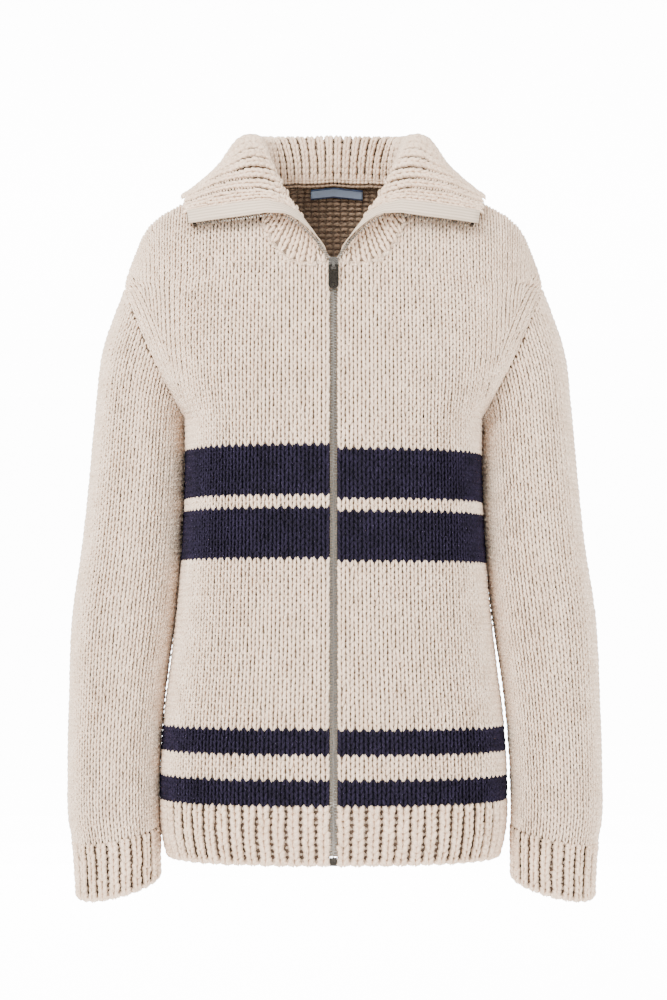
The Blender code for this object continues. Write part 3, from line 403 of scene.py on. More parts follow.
def makeYarn(name, places, shapes, materials, pick=None, mirror=False, fill=0.0):
    # places holds origin, across, up and out for each stitch; each leg is two tips and three rings of three
    # points. fill is the column width at which a leg has its own size: on wider ones it fluffs out.
    origin, across, up, out = places
    count = len(origin)
    pick = np.zeros(count) if pick is None else pick
    turns = np.radians([-18.0, 90.0, 198.0])
    one = [(0, 1 + (k + 1) % 3, 1 + k) for k in range(3)]
    for ring in (1, 4):
        for k in range(3):
            p, q = ring + k, ring + (k + 1) % 3
            one += [(p, q, q + 3), (p, q + 3, p + 3)]
    one = np.array(one + [(10, 7 + k, 7 + (k + 1) % 3) for k in range(3)])
    along = np.concatenate([[0], np.repeat([1.6, 4.0, 6.6], 3), [8.4]])      # the yarn's map, about in mm
    around = np.concatenate([[2.5], np.tile([0, 2.5, 5.0], 3), [2.5]])
    allPoints, allFaces, allUv = [], [], []
    for number, shape in enumerate(shapes):
        size = 1 + stitch["uneven"] * rng.standard_normal((count, 1, 1))
        if fill:
            size = size * np.clip(np.linalg.norm(across, axis=1) / fill, *stitch["fluff"])[:, None, None]
        shift = rng.standard_normal((count, 3)) * stitch["wander"]
        a, b, c = ((shape[key] + shift[:, axis, None])[..., None] for axis, key in enumerate("abc"))
        line = origin[:, None] + a * across[:, None] + b * up[:, None] + c * out[:, None]
        sideways = unit(np.cross(out[:, None], line[:, 2:] - line[:, :-2]))
        wide = np.outer(shape["wide"], np.cos(turns))[..., None] * sideways[:, :, None]
        tall = np.outer(shape["tall"], np.sin(turns))[..., None] * out[:, None, None]
        rings = line[:, 1:4, None] + size[..., None] * (wide + tall)
        points = np.concatenate([line[:, :1], rings.reshape(count, 9, 3), line[:, 4:]], axis=1)
        allPoints.append(points.reshape(-1, 3))
        first = (np.arange(count) + number * count)[:, None, None] * 11
        allFaces.append((first + one[None]).reshape(-1, 3))
        slide = rng.uniform(0, 40, (count, 1))
        allUv.append(np.stack([along + slide, around + 0 * slide], axis=-1).reshape(-1, 2))
    return makePiece(name, np.concatenate(allPoints), np.concatenate(allFaces), materials,
                     np.tile(np.repeat(pick, len(one)), len(shapes)), np.concatenate(allUv), mirror)


def lattice(sheet, us, pitch, rowTall, lift=0.0):
    # stitches on a sheet: columns at us, rows a fixed length apart up each of them
    vs = np.linspace(0, 1, 500)
    u, v, row, dv = [], [], [], []
    for at in us:
        run = lengths(sheet.at(np.full(len(vs), at), vs))
        rows = np.arange(int(run[-1] / rowTall + stitch["over"]))
        low, high = np.interp(rows * rowTall, run, vs), np.interp((rows + 1) * rowTall, run, vs)
        u.append(np.full(len(rows), at))
        v.append(low)
        dv.append(high - low)
        row.append(rows)
    u, v, dv, row = (np.concatenate(each) for each in (u, v, dv, row))
    left, right = np.clip(u - pitch / 2, 0, 1), np.clip(u + pitch / 2, 0, 1)
    across = (sheet.at(right, v + dv / 2) - sheet.at(left, v + dv / 2)) * (pitch / (right - left))[:, None]
    up = sheet.at(u, v + dv) - sheet.at(u, v)
    out = sheet.normal(u, v + dv / 2)
    return (sheet.at(u, v) + lift * out, squareTo(across, unit(up)), up, out), row, u, v


def bodyLattice(sheet, columns, rowTall, start):
    # columns stay upright and keep their width. From a little below the armpit up, the last few turn to run
    # beside the armhole, and the ones within end against them; where the panel widens again, new ones begin.
    us, vs = np.linspace(0, 1, 81), np.linspace(0, 1, panel["levels"])
    index = np.arange(len(vs))
    across = lengths(sheet.at(*np.meshgrid(us, vs, indexing="ij")).transpose(1, 0, 2))
    total, turning = across[:, -1], panel["turningLevel"]
    pitch = (1 - start) / columns
    own = start + (np.arange(columns) + 0.5) * pitch
    at = np.interp(own, us, across[turning])
    wide = np.interp(own + pitch / 2, us, across[turning]) - np.interp(own - pitch / 2, us, across[turning])
    inner = columns - panel["besideArmhole"]
    bandWide = total[turning] - np.interp(1 - panel["besideArmhole"] * pitch, us, across[turning])
    added = at[inner - 1] + wide[inner - 1] * np.arange(1, panel["addedColumns"] + 1)
    neckU, neckV = neckline(sheet, 160)
    origin, up, width, row, place = [], [], [], [], []
    for number, distance in enumerate(np.concatenate([at, added])):
        beside = inner <= number < columns
        distances = total - total[turning] + distance if beside else np.full(len(vs), distance)
        u = np.array([np.interp(*each, us) for each in zip(distances, across)])
        shown = np.ones(len(vs), dtype=bool) if beside else distances <= total - bandWide
        if number < columns:
            u[:turning + 1], shown[:turning + 1] = own[number], True
        else:
            shown[:turning + 1] = False
        shown &= vs <= np.interp(u, neckU, neckV, right=1.0)
        run = lengths(sheet.at(u, vs))
        if number >= columns:
            run += lengths(sheet.at(0 * vs, vs))[turning] - run[turning]
        rows = np.arange(int(run[-1] / rowTall + stitch["over"]))
        low, high = np.interp(rows * rowTall, run, index), np.interp((rows + 1) * rowTall, run, index)
        keep = shown[np.round(low + stitch["shownFrom"] * (high - low)).astype(int)]
        low, high = low[keep], high[keep]
        line = np.stack([u, vs], axis=-1)
        first, second = readAlong(low, index, line).T, readAlong(high, index, line).T
        origin.append(sheet.at(*first))
        up.append(sheet.at(*second) - origin[-1])
        spans = [wide[inner - 1]]
        if number < columns:
            edges = own[number] + np.array([-0.5, 0.5]) * pitch
            spans = np.diff([np.interp(edges, us, each) for each in across[:turning + 1]], axis=1)[:, 0]
        width.append(np.interp(low, np.arange(len(spans)), spans))
        row.append(rows[keep])
        place.append(first)
    origin, up, width, row = (np.concatenate(each) for each in (origin, up, width, row))
    u, v = np.concatenate(place, axis=1)
    sideways = unit(squareTo(sheet.at(u + 0.01, v) - sheet.at(u - 0.01, v), unit(up)))
    return (origin, sideways * width[:, None], up, sheet.normal(u, v)), row, u, v


# Materials
def addNode(tree, kind, settings=None, **links):
    # a node with its settings; each link is an input's name or number and the socket that feeds it
    node = tree.nodes.new(kind)
    for key, value in (settings or {}).items():
        if isinstance(key, str) and hasattr(node, key):
            setattr(node, key, value)
        else:
            node.inputs[key].default_value = value
    for key, socket in links.items():
        slot = int(key[1:]) if key[0] == "i" and key[1:].isdigit() else key.replace("_", " ")
        tree.links.new(socket, node.inputs[slot])
    return node


def newMaterial(name, roughness, metallic=0.0):
    material = bpy.data.materials.new(name)
    material.use_nodes = True
    shader = material.node_tree.nodes["Principled BSDF"]
    shader.inputs["Roughness"].default_value = roughness
    shader.inputs["Metallic"].default_value = metallic
    return material, material.node_tree, shader


def colourFrom(tree, shader, factor, low, high):
    # the base colour, between two shades
    ramp = addNode(tree, "ShaderNodeValToRGB", Fac=factor)
    ramp.color_ramp.elements[0].color, ramp.color_ramp.elements[1].color = linear(low), linear(high)
    tree.links.new(ramp.outputs["Color"], shader.inputs["Base Color"])


def bumpFrom(tree, shader, height, strength, distance, invert=False):
    settings = {"Strength": strength, "Distance": distance, "invert": invert}
    bump = addNode(tree, "ShaderNodeBump", settings, Height=height)
    tree.links.new(bump.outputs[0], shader.inputs["Normal"])


def noise(tree, place, scale, detail):
    settings = {"Scale": scale, "Detail": detail}
    return addNode(tree, "ShaderNodeTexNoise", settings, Vector=place.outputs["Object"]).outputs["Fac"]


def weighted(tree, first, share, second):
    # a share of the first value, added to the second
    settings = {"operation": "MULTIPLY_ADD", 1: share}
    return addNode(tree, "ShaderNodeMath", settings, i0=first, i2=second).outputs[0]


def woolYarn(name, low, high, sheen):
    # thick loosely plied wool: matt, a soft bloom of loose fibre, and twist lines about 1.8 mm apart
    material, tree, shader = newMaterial(name, 0.93)
    place = addNode(tree, "ShaderNodeTexCoord")
    fibre, patch = noise(tree, place, 420.0, 3.0), noise(tree, place, 55.0, 2.0)
    patches = addNode(tree, "ShaderNodeMath", {"operation": "MULTIPLY", 1: 0.4}, i0=patch)
    mix = weighted(tree, fibre, 0.6, patches.outputs[0])
    spread = addNode(tree, "ShaderNodeMapRange", {"From Min": 0.34, "From Max": 0.64}, Value=mix)
    colourFrom(tree, shader, spread.outputs[0], low, high)
    lean = {"Rotation": (0, 0, math.radians(38))}
    turned = addNode(tree, "ShaderNodeMapping", lean, Vector=place.outputs["UV"])
    twist = addNode(tree, "ShaderNodeTexWave", {"Scale": 0.17, "Distortion": 0.6, "Detail": 1.0},
                    Vector=turned.outputs[0])
    bumpFrom(tree, shader, weighted(tree, fibre, 0.7, twist.outputs["Fac"]), 0.55, 0.0006)
    shader.inputs["Sheen Weight"].default_value = sheen
    shader.inputs["Sheen Roughness"].default_value = 0.55
    shader.inputs["Specular IOR Level"].default_value = 0.15
    return material


def paintedShadeKnit(name, low, high):
    # the cloth behind the stitches: the same wool darkened as painted shade, so it reads as shadow in the
    # gaps and grooves, covered in small purl bumps
    material, tree, shader = newMaterial(name, 0.97)
    place = addNode(tree, "ShaderNodeTexCoord")
    bumps = addNode(tree, "ShaderNodeTexVoronoi", {"Scale": 1.6, "Randomness": 0.35},
                    Vector=place.outputs["UV"])
    # painted shade: each purl bump is coloured lighter in its middle and darker towards its edges
    colourFrom(tree, shader, bumps.outputs["Distance"], high, low)
    bumpFrom(tree, shader, bumps.outputs["Distance"], 0.8, 0.002, invert=True)
    shader.inputs["Specular IOR Level"].default_value = 0.1
    return material


def castMetal(name, low, high, roughness, scale):
    # plated zinc: a dark clear reflection, clouded by handling marks a millimetre or two across
    material, tree, shader = newMaterial(name, roughness, 1.0)
    cloud = noise(tree, addNode(tree, "ShaderNodeTexCoord"), scale, 4.0)
    colourFrom(tree, shader, cloud, low, high)
    dull = addNode(tree, "ShaderNodeMapRange", {"To Min": roughness - 0.1, "To Max": roughness + 0.15},
                   Value=cloud)
    tree.links.new(dull.outputs[0], shader.inputs["Roughness"])
    bumpFrom(tree, shader, cloud, 0.25, 0.0002)
    return material


def wovenTape(name, low, high):
    # a twill tape: cords run along it about 3.6 mm apart, in an uneven weave about a millimetre fine
    material, tree, shader = newMaterial(name, 0.9)
    place = addNode(tree, "ShaderNodeTexCoord")
    weave = noise(tree, place, 900.0, 2.0)
    cords = addNode(tree, "ShaderNodeTexWave", {"Scale": 0.13, "Distortion": 0.2, "bands_direction": "X"},
                    Vector=place.outputs["UV"])
    joined = weighted(tree, weave, 0.5, cords.outputs["Fac"])
    colourFrom(tree, shader, joined, low, high)
    bumpFrom(tree, shader, joined, 0.5, 0.0005)
    return material


def wovenSatin(name, plain, dark):
    # a satin-woven strip: a dull gleam, finely uneven, with darker selvedges; its map runs up from 0 to 8
    material, tree, shader = newMaterial(name, 0.55)
    place = addNode(tree, "ShaderNodeTexCoord")
    split = addNode(tree, "ShaderNodeSeparateXYZ", Vector=place.outputs["UV"])
    away = addNode(tree, "ShaderNodeMath", {"operation": "SUBTRACT", 1: 4.0}, i0=split.outputs["Y"])
    size = addNode(tree, "ShaderNodeMath", {"operation": "ABSOLUTE"}, i0=away.outputs[0])
    selvedge = addNode(tree, "ShaderNodeMapRange", {"From Min": 2.7, "From Max": 2.95}, Value=size.outputs[0])
    colourFrom(tree, shader, selvedge.outputs[0], plain, dark)
    bumpFrom(tree, shader, noise(tree, place, 1100.0, 1.0), 0.3, 0.0002)
    return material


creamYarn = woolYarn("creamWoolYarn", "#e0c4a9", "#ffe6cd", 0.1)
creamRibYarn = woolYarn("creamRibbedYarn", "#ddbfa2", "#fde1c6", 0.1)
navyYarn = woolYarn("navyWoolYarn", "#130f1a", "#262033", 0.0)
# painted shade: the wool inside the neck gets a darker brown cream that stands in for the shadow there
creamInsidePaintedShade = woolYarn("creamWoolInsidePaintedShade", "#8a715d", "#a08872", 0.0)
# painted shade: the cloth under the stitches is a dark brown cream and a dark navy, seen as shadow through
# the gaps
creamBehindPaintedShade = paintedShadeKnit("creamKnitBehindPaintedShade", "#5a4a3d", "#84705e")
navyBehindPaintedShade = paintedShadeKnit("navyKnitBehindPaintedShade", "#0f0e17", "#1c1a28")
gunmetal = castMetal("gunmetalPlate", "#26231f", "#4c4741", 0.27, 700.0)
# painted highlight: a lighter copy of the gunmetal, given to the slider so it reads brighter than the pull
sliderPaintedHighlightMetal = castMetal("gunmetalPaintedHighlight", "#4a4641", "#a19b93", 0.25, 600.0)
nickelTeeth = castMetal("nickelTeeth", "#78726a", "#bab3a9", 0.32, 500.0)
zipTape = wovenTape("zipTapeTwill", "#b59e86", "#dcc7b0")
labelSatin = wovenSatin("labelSatin", "#a9b9d2", "#3f4f70")
wool, ribWool = [creamYarn, navyYarn], [creamRibYarn, navyYarn]
paintedShadeCloth = [creamBehindPaintedShade, navyBehindPaintedShade]
print("materials")

# Stripes, counted in rows up from the hem: each pair is a first row and the row after its last.
stripes = ((0, 4), (8, 12), (39, 47), (49, 57))


def isNavy(rows):
    return sum(((rows >= first) & (rows < last)) for first, last in stripes).astype(int)


# Gauge in mm: a plain column, and one rib with its groove in the hem, cuff and collar
gauge = {"plain": 7.6, "hemRib": 12.9, "cuffRib": 12.0, "collarRib": 10.3}


def declare(node):
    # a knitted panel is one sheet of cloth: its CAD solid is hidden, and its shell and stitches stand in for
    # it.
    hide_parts(node)


# The body's panels
panel = {
    "faceIn": 1.5, "neckColumns": 18, "sideColumns": 14, "highRows": 46,      # the cloth shell's own grid
    "levels": 321, "turningLevel": 149, "besideArmhole": 4, "addedColumns": 13,
    "insideFrom": 0.72, "insideWide": 0.45, "insideBar": (0.52, 2.7, 0.8),
}


def panelGrid(sheet, rowTall):
    # as the solids: even columns up to the armpit, above it leaning in to end evenly along the neckline
    neckU, neckV = neckline(sheet, 160)
    run = lengths(sheet.at(neckU, neckV))
    at = np.linspace(0, run[-1], panel["neckColumns"] + 1)
    neckU, neckV = np.interp(at, run, neckU), np.interp(at, run, neckV)
    edge, top = 1 - body["seam"] / 2 / body["halfGirth"], 1 - body["seam"] / 1200
    topU = np.concatenate([neckU, np.linspace(neckU[-1], edge, panel["sideColumns"] + 1)[1:]])[:, None]
    topV = np.concatenate([np.minimum(neckV, top), np.full(panel["sideColumns"], top)])[:, None]
    u = np.linspace(neckU[0], edge, len(topU))[:, None]
    rows = np.arange(int(sheet.armpitRun / rowTall) + 1) * rowTall / sheet.armpitRun / 2
    low = np.tile(np.append(rows[1:] if rows[0] == 0 else rows, 0.5), (len(u), 1))
    low = np.concatenate([np.full((len(u), 1), 0.0002), low], axis=1)
    rise = np.linspace(0, 1, panel["highRows"] + 1)[1:]
    v = np.concatenate([low, 0.5 + (topV - 0.5) * rise], axis=1)
    u = np.concatenate([np.tile(u, (1, low.shape[1])), u + (topU - u) * rise**2], axis=1)
    return u, v, low.shape[1] - 1


def insideNeck(places, u, v):
    # the wrong side of the knitting shows inside the neck: purl bumps, on the top rows only, in a darker
    # cream that is painted shade
    origin, across, up, out = places
    seen = (v > panel["insideFrom"]) & (u < panel["insideWide"])
    places = (origin - body["wall"] * out)[seen], across[seen], up[seen], -out[seen]
    return [makeYarn("back_inside_" + tag, places, barLeg(*panel["insideBar"]), [creamInsidePaintedShade], mirror=flip)
            for flip, tag in ((False, "left"), (True, "right"))]


def makePanel(name, sheet, rowTall, columns, mirror=False, both=False):
    u, v, armpitRow = panelGrid(sheet, rowTall)
    face, out = sheet.at(u, v), sheet.normal(u, v)
    outer, inner = face - panel["faceIn"] * out, face - body["wall"] * out
    middle = np.array([-(body["armpitHalf"] + body["shoulderHalf"]) / 2, 0.0,
                       (body["armpit"] + body["shoulderPoint"]) / 2])
    rim = face[-1, armpitRow:]
    inner[-1, armpitRow:] = rim - body["wall"] * unit(rim - middle)
    pick = isNavy(np.arange(v.shape[1] - 1))
    pick[armpitRow:] = 0
    if both:
        outer = np.concatenate([outer[:0:-1] * (-1, 1, 1), outer])
        inner = np.concatenate([inner[:0:-1] * (-1, 1, 1), inner])
    # the shell wears the painted-shade cloth colours, seen as shadow between the stitches
    shell = makeShell(name + "_cloth", outer, inner, paintedShadeCloth, pick, mirror=mirror, turn=sheet.side > 0)
    start = body["zipSlot"] if sheet.side < 0 else 0.0
    places, row, u, v = bodyLattice(sheet, columns, rowTall, start)
    flips = ((False, "_left"), (True, "_right")) if both else ((mirror, ""),)
    yarn = [makeYarn(name + tag + "_stitches", places, veeLegs(*stitch["leg"]), wool, isNavy(row), flip,
                     gauge["plain"]) for flip, tag in flips]
    if both:
        yarn += insideNeck(places, u, v)
    declare(name)


makePanel("front_left", frontSheet, body["rowTallLeft"], body["columnsFront"])
makePanel("front_right", frontSheet, body["rowTallRight"], body["columnsFront"], mirror=True)
makePanel("back", backSheet, body["rowTallBack"], body["columnsBack"] // 2, both=True)
print("body panels")


# Ribbed pieces: one column of V stitches on each ridge, a ladder of purl bumps down each groove.
ribbed = {
    "thick": 4.6, "ridge": 0.2, "groove": -3.0, "besideZip": -1.0, "sunk": 0.6, "deepest": 0.8,
    "rowTall": 6.2, "spread": 0.262, "legWide": 0.226, "halfTall": 2.3, "fill": 0.97,
    "bar": (0.13, 1.4, 1.0, -3.1), "edgeBar": (0.55, 2.9, 2.3, -0.6), "edge": 0.15, "seam": -0.3,
    "flatFrom": 0.45, "flatOver": 0.1, "flatter": 0.55, "flatLift": 2.7,
}


def spreadFlat(v):
    # the collar's rib is spread flat on its turned-down half, and keeps its depth on the stand
    return np.clip((v - ribbed["flatFrom"]) / ribbed["flatOver"], 0, 1)


def makeRibbed(name, sheet, count, rowTall, start=0.0, closed=False, mirror=False, levels=12, skip=0,
               thin=None, extra=None):
    # the cloth's face is a wave, one ridge and one groove to a rib. skip leaves out ribs at both ends, extra
    # is where a lone column runs there instead, and thin gives the cloth's thickness where it varies.
    columns = np.linspace(start, 1, 2 * count + 1)
    u, v = np.meshgrid(columns, np.linspace(0.002, 0.998, levels), indexing="ij")
    wave = np.where(np.arange(2 * count + 1) % 2, ribbed["ridge"], ribbed["groove"])
    wave[:2 * skip] = wave[len(wave) - 2 * skip:] = ribbed["besideZip"]
    depth = np.full(u.shape, ribbed["thick"]) if thin is None else thin(u)
    flat = 0 * v if thin is None else spreadFlat(v)
    wave = wave[:, None] * (1 - ribbed["flatter"] * flat) - ribbed["sunk"]
    wave = np.maximum(wave, -ribbed["deepest"] * depth)
    face, out = sheet.at(u, v), sheet.normal(u, v)
    # the shell wears the painted-shade cloth colours, seen as dark lines down the grooves
    shell = makeShell(name + "_cloth", face + wave[..., None] * out, face - depth[..., None] * out, paintedShadeCloth,
                      closed=closed, mirror=mirror, turn=sheet.turn < 0)
    pitch = (1 - start) / count
    ridges = (start + (np.arange(count) + 0.5) * pitch)[skip:count - skip]
    if extra is not None:
        ridges = np.concatenate([[extra], ridges, [1 - extra]])
    places, _, _, _ = lattice(sheet, ridges, pitch, rowTall, ribbed["ridge"])
    ribWide = np.median(np.linalg.norm(places[1], axis=1))
    wide, tall = ribbed["legWide"] * ribWide, ribbed["halfTall"] * ribWide / gauge["hemRib"]
    yarn = [makeYarn(name + "_knit_columns", places, veeLegs(ribbed["spread"], wide, tall), ribWool,
                     mirror=mirror, fill=ribbed["fill"] * ribWide)]
    halves = start + (np.arange(2 * count) + 0.5) * pitch / 2
    (origin, across, up, out), row, _, _ = lattice(sheet, halves, pitch / 2, rowTall)
    first = row == 0
    for tag in ("edge", "seam")[:1 if thin is None else 2]:
        # a cast-off edge: one round bar to each half rib along the first row
        places = origin[first] + ribbed[tag] * up[first], across[first], 0.1 * up[first], out[first]
        yarn.append(makeYarn(name + "_" + tag, places, barLeg(*ribbed["edgeBar"]), ribWool, mirror=mirror))
    grooves = (start + np.arange(1, count) * pitch)[skip:count - 1 - skip]
    if closed:
        grooves = start + np.arange(count) * pitch
    places, row, _, _ = lattice(sheet, grooves, pitch, rowTall)
    rows, bars = row.max() + 1, len(row)
    if thin is not None:      # on the turned-down half the purl bars lie nearer the face, and twice as close
        places, row, _, v = lattice(sheet, grooves, pitch, rowTall / 2)
        keep = (v > 0.5) | (row % 2 == 0)
        raised = places[0] + ribbed["flatLift"] * spreadFlat(v)[:, None] * places[3]
        places = [each[keep] for each in (raised, *places[1:])]
    yarn.append(makeYarn(name + "_purl_bars", places, barLeg(*ribbed["bar"]), ribWool, mirror=mirror))
    return shell, yarn, (count, rows, bars + (0 if closed else rows))


def knitRibbed(name, sheet, count, ribGauge, rests, **options):
    shell, yarn, knitted = makeRibbed(name, sheet, count, ribbed["rowTall"], **options)
    declare(name)


def hemSheet(side, shares):
    # the hem is the body's own section, drawn in towards its bottom edge
    heights = np.linspace(body["hemBottom"], body["hemTop"] - body["seam"], 30)
    grid = bodySections(heights, np.abs(shares), side).transpose(1, 0, 2)
    grid[shares < 0, :, 0] *= -1
    return ClothSheet(grid, side)


hem = {"ribsFront": 17, "ribsBack": 34, "overZip": -0.006}
edge = 1 - body["seam"] / 2 / body["halfGirth"]
hemFront = hemSheet(-1, np.linspace(body["zipSlot"], edge, 90))
hemBack = hemSheet(1, np.linspace(-edge, edge, 180))
for side, flip in (("left", False), ("right", True)):
    knitRibbed("hem_" + side, hemFront, hem["ribsFront"], "hemRib", "front_%s_cloth" % side,
               start=hem["overZip"], mirror=flip)
knitRibbed("hem_back", hemBack, hem["ribsBack"], "hemRib", "back_cloth")
print("hem")

for side, flip, outward in (("left", False, 0.0), ("right", True, sleeve["rightOut"])):
    sheet = sleeveSheet(0.0, sleeve["cuffStart"] - body["seam"], 120, outward)
    columns = np.linspace(0, 1, sleeve["columns"] + 1)
    u, v = np.meshgrid(columns, np.linspace(0, 1, 80), indexing="ij")
    face, out = sheet.at(u, v), sheet.normal(u, v)
    face[-1], out[-1] = face[0], out[0]
    outer, inner = face - panel["faceIn"] * out, face - body["wall"] * out
    # the shell wears the painted-shade cloth colours, seen as shadow between the stitches
    shell = makeShell("sleeve_%s_cloth" % side, outer, inner, paintedShadeCloth, closed=True, mirror=flip)
    pitch = 1 / sleeve["columns"]
    places, row, _, _ = lattice(sheet, (np.arange(sleeve["columns"]) + 0.5) * pitch, pitch, sleeve["rowTall"])
    yarn = makeYarn("sleeve_%s_stitches" % side, places, veeLegs(*stitch["leg"]), wool, mirror=flip,
                    fill=gauge["plain"])
    declare("sleeve_" + side)
    cuff = sleeveSheet(sleeve["cuffStart"], sleeve["cuffEnd"], 30, outward)
    knitRibbed("cuff_" + side, cuff, sleeve["cuffRibs"], "cuffRib", "sleeve_%s_cloth" % side, closed=True,
               mirror=flip)
print("sleeves and cuffs")


def collarThick(u):
    # pressed thin where it folds along the zip, swelling to the full thickness
    inside = np.clip(2 * np.minimum(u, 1 - u) / collar["thinShare"], 0, 1)
    return collar["thick"] * (collar["thinEdge"] + (1 - collar["thinEdge"]) * inside**2 * (3 - 2 * inside))


def makeStand(flip, tag):
    # the stand's own ribs show from outside where the collar rises from the neck, beside the zip
    half = 1 / collar["ribs"] / 2
    columns = (np.arange(collar["standColumns"]) + 0.6) * half
    (origin, across, up, out), _, u, v = lattice(collarFace, columns, half, collar["rowTall"])
    seen = v < collar["standSeen"]
    places = (origin - collarThick(u)[:, None] * out)[seen], -across[seen], up[seen], -out[seen]
    return makeYarn("collar_stand_" + tag, places, veeLegs(*collar["standLeg"]), ribWool, mirror=flip,
                    fill=gauge["plain"])


neckSeam = {"first": 2.0, "last": 6.0, "pitch": 4.9, "off": 1.5, "bar": (0.62, 2.0, 1.7)}


def makeNeckSeam(flip, tag):
    # the seam between back and collar, seen inside the neck: a row of bars laid end to end, in the darker
    # cream that is painted shade
    neckU, neckV = neckline(backSheet, 60)
    line = backSheet.at(neckU, neckV) - body["wall"] * backSheet.normal(neckU, neckV)
    run = lengths(line)
    stations = np.arange(neckSeam["first"], run[-1] - neckSeam["last"], neckSeam["pitch"])
    seam = readAlong(stations, run, line)
    along = readAlong(stations + neckSeam["pitch"], run, line) - seam
    inward = unit(towardsNeck(seam))
    places = seam + neckSeam["off"] * inward, along, 0.1 * unit(np.cross(inward, along)), inward
    return makeYarn("neck_seam_" + tag, places, barLeg(*neckSeam["bar"]), [creamInsidePaintedShade], mirror=flip)


shell, yarn, count = makeRibbed("collar", collarFace, collar["ribs"], collar["rowTall"], levels=34, skip=2,
                                thin=collarThick, extra=collar["besideTape"])
for flip, tag in ((False, "left"), (True, "right")):
    yarn += [makeStand(flip, tag), makeNeckSeam(flip, tag)]
declare("collar")
print("collar")

# The zip. Its line runs up the hem and the front, then round the collar's edge.
zipper = {
    "boxTall": 6.4, "aboveBox": 1.5, "frontFrom": 0.005, "underTape": 0.6, "clear": 1.0,
    "tapeWide": 14.66, "tapeOff": 0.95, "tapeThick": 0.8, "tapeCords": 12, "tapeOver": 3.25,
    "wingShare": 0.35, "toothPitch": 2.8, "toothTall": 1.15, "tipTall": 0.7, "teethIn": 0.35,
    "teethWide": 2.9, "reachOver": 0.9, "teethOut": 0.4, "teethThick": 2.0, "endsIn": 1.0,
    "alongs": (0.05, 0.1, 0.15, 0.2, 0.25, 0.3, 0.35, 0.4, 0.5, 0.6, 0.7, 0.85, 0.94, 0.985),
}


def zipLine(across, depth, closing=0.0):
    # across is measured in from the cloth's edge, depth from its face towards the wearer;
    # closing is how far past that the teeth reach over the middle where the zip is shut
    share = body["zipSlot"] + across / body["halfGirth"]
    lowest = body["hemBottom"] + zipper["boxTall"] + zipper["aboveBox"]
    heights = np.linspace(lowest, body["hemTop"] - body["seam"], 4)
    low = bodySections(heights, np.array([share]), -1)[:, 0] + (0, ribbed["thick"] + depth, 0)
    middle = frontSheet.grid[0, :, 2]
    shut = np.interp(body["neckFront"], middle, np.linspace(0, 1, len(middle)))
    vs = np.linspace(zipper["frontFrom"], shut, 15)
    inside = np.full(len(vs), max(share, 0.0))
    front = frontSheet.at(inside, vs) - (body["wall"] + depth) * frontSheet.normal(inside, vs)
    front[:, 0] += min(share, 0.0) * body["halfGirth"]
    low[:, 0] += closing
    front[:-1, 0] += closing
    alongs = np.array(zipper["alongs"])
    at = np.full(len(alongs), max(across, 0.0) / collar["halfRun"] / 2)
    pressed = zipper["underTape"] if depth < 0 else 0.0
    edgeLine = collarFace.at(at, alongs) + (depth - pressed) * collarFace.normal(at, alongs, 0.012)
    if across < 0:
        into = unit(collarFace.at(at + zipper["tapeWide"] / collar["halfRun"] / 2, alongs)
                    - collarFace.at(at, alongs))
        reach = across * (zipper["wingShare"] if depth > 0 else 1.0)      # so the teeth show past the tape
        edgeLine = edgeLine + (reach - zipper["clear"]) * into
    return np.concatenate([low, front, edgeLine])


def makeTeeth(side, mirror, offset):
    # each tooth is a small block between four lines of the zip, narrower at its tip
    inner, tip = -zipper["teethIn"], -zipper["teethIn"] - zipper["teethWide"]
    near, far = -zipper["teethOut"], -zipper["teethOut"] - zipper["teethThick"]
    lines = np.stack([zipLine(inner, near), zipLine(tip, near, zipper["reachOver"]),
                      zipLine(tip, far, zipper["reachOver"]), zipLine(inner, far)])[:, :-1]
    run = lengths(lines.mean(axis=0))
    stations = np.arange(offset + zipper["endsIn"], run[-1] - zipper["endsIn"], zipper["toothPitch"])
    corners = np.empty((len(stations), 4, 2, 3))
    for corner, line in enumerate(lines):
        tall = zipper["toothTall"] * (zipper["tipTall"] if corner in (1, 2) else 1.0)
        for end, way in enumerate((-0.5, 0.5)):
            corners[:, corner, end] = readAlong(stations + way * tall, run, line)
    block = np.array([(0, 2, 4, 6), (1, 7, 5, 3), (0, 1, 3, 2), (2, 3, 5, 4), (4, 5, 7, 6), (6, 7, 1, 0)])
    faces = (np.arange(len(stations))[:, None, None] * 8 + block[None]).reshape(-1, 4)
    first = corners[0].reshape(8, 3)
    outwards = np.cross(first[block[0, 1]] - first[block[0, 0]], first[block[0, 3]] - first[block[0, 0]])
    if np.dot(outwards, first[list(block[0])].mean(axis=0) - first.mean(axis=0)) < 0:
        faces = faces[:, ::-1]
    piece = makePiece("zip_teeth_" + side, corners.reshape(-1, 3), faces, [nickelTeeth], mirror=mirror)
    piece.data.polygons.foreach_set("use_smooth", np.zeros(len(faces), dtype=bool))
    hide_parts("zip_chain_" + side)


def makeTape(side, mirror):
    across = np.linspace(-zipper["tapeOver"], zipper["tapeWide"], zipper["tapeCords"] + 1)
    near = np.stack([zipLine(x, zipper["tapeOff"]) for x in across])
    far = np.stack([zipLine(x, zipper["tapeOff"] + zipper["tapeThick"]) for x in across])
    tape = makeShell("zip_tape_%s_twill" % side, near, far, [zipTape], mirror=mirror, turn=True)
    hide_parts("zip_tape_" + side)


for side, mirror, offset in (("left", False, 0.0), ("right", True, zipper["toothPitch"] / 2)):
    makeTeeth(side, mirror, offset)
    makeTape(side, mirror)

stopBox = {"wide": 6.9, "deep": 4.6, "tall": 8.0, "scallop": 1.2, "corner": 0.9, "cornerBack": 0.5,
           "proud": 0.9, "below": 0.6, "lip": 0.7}


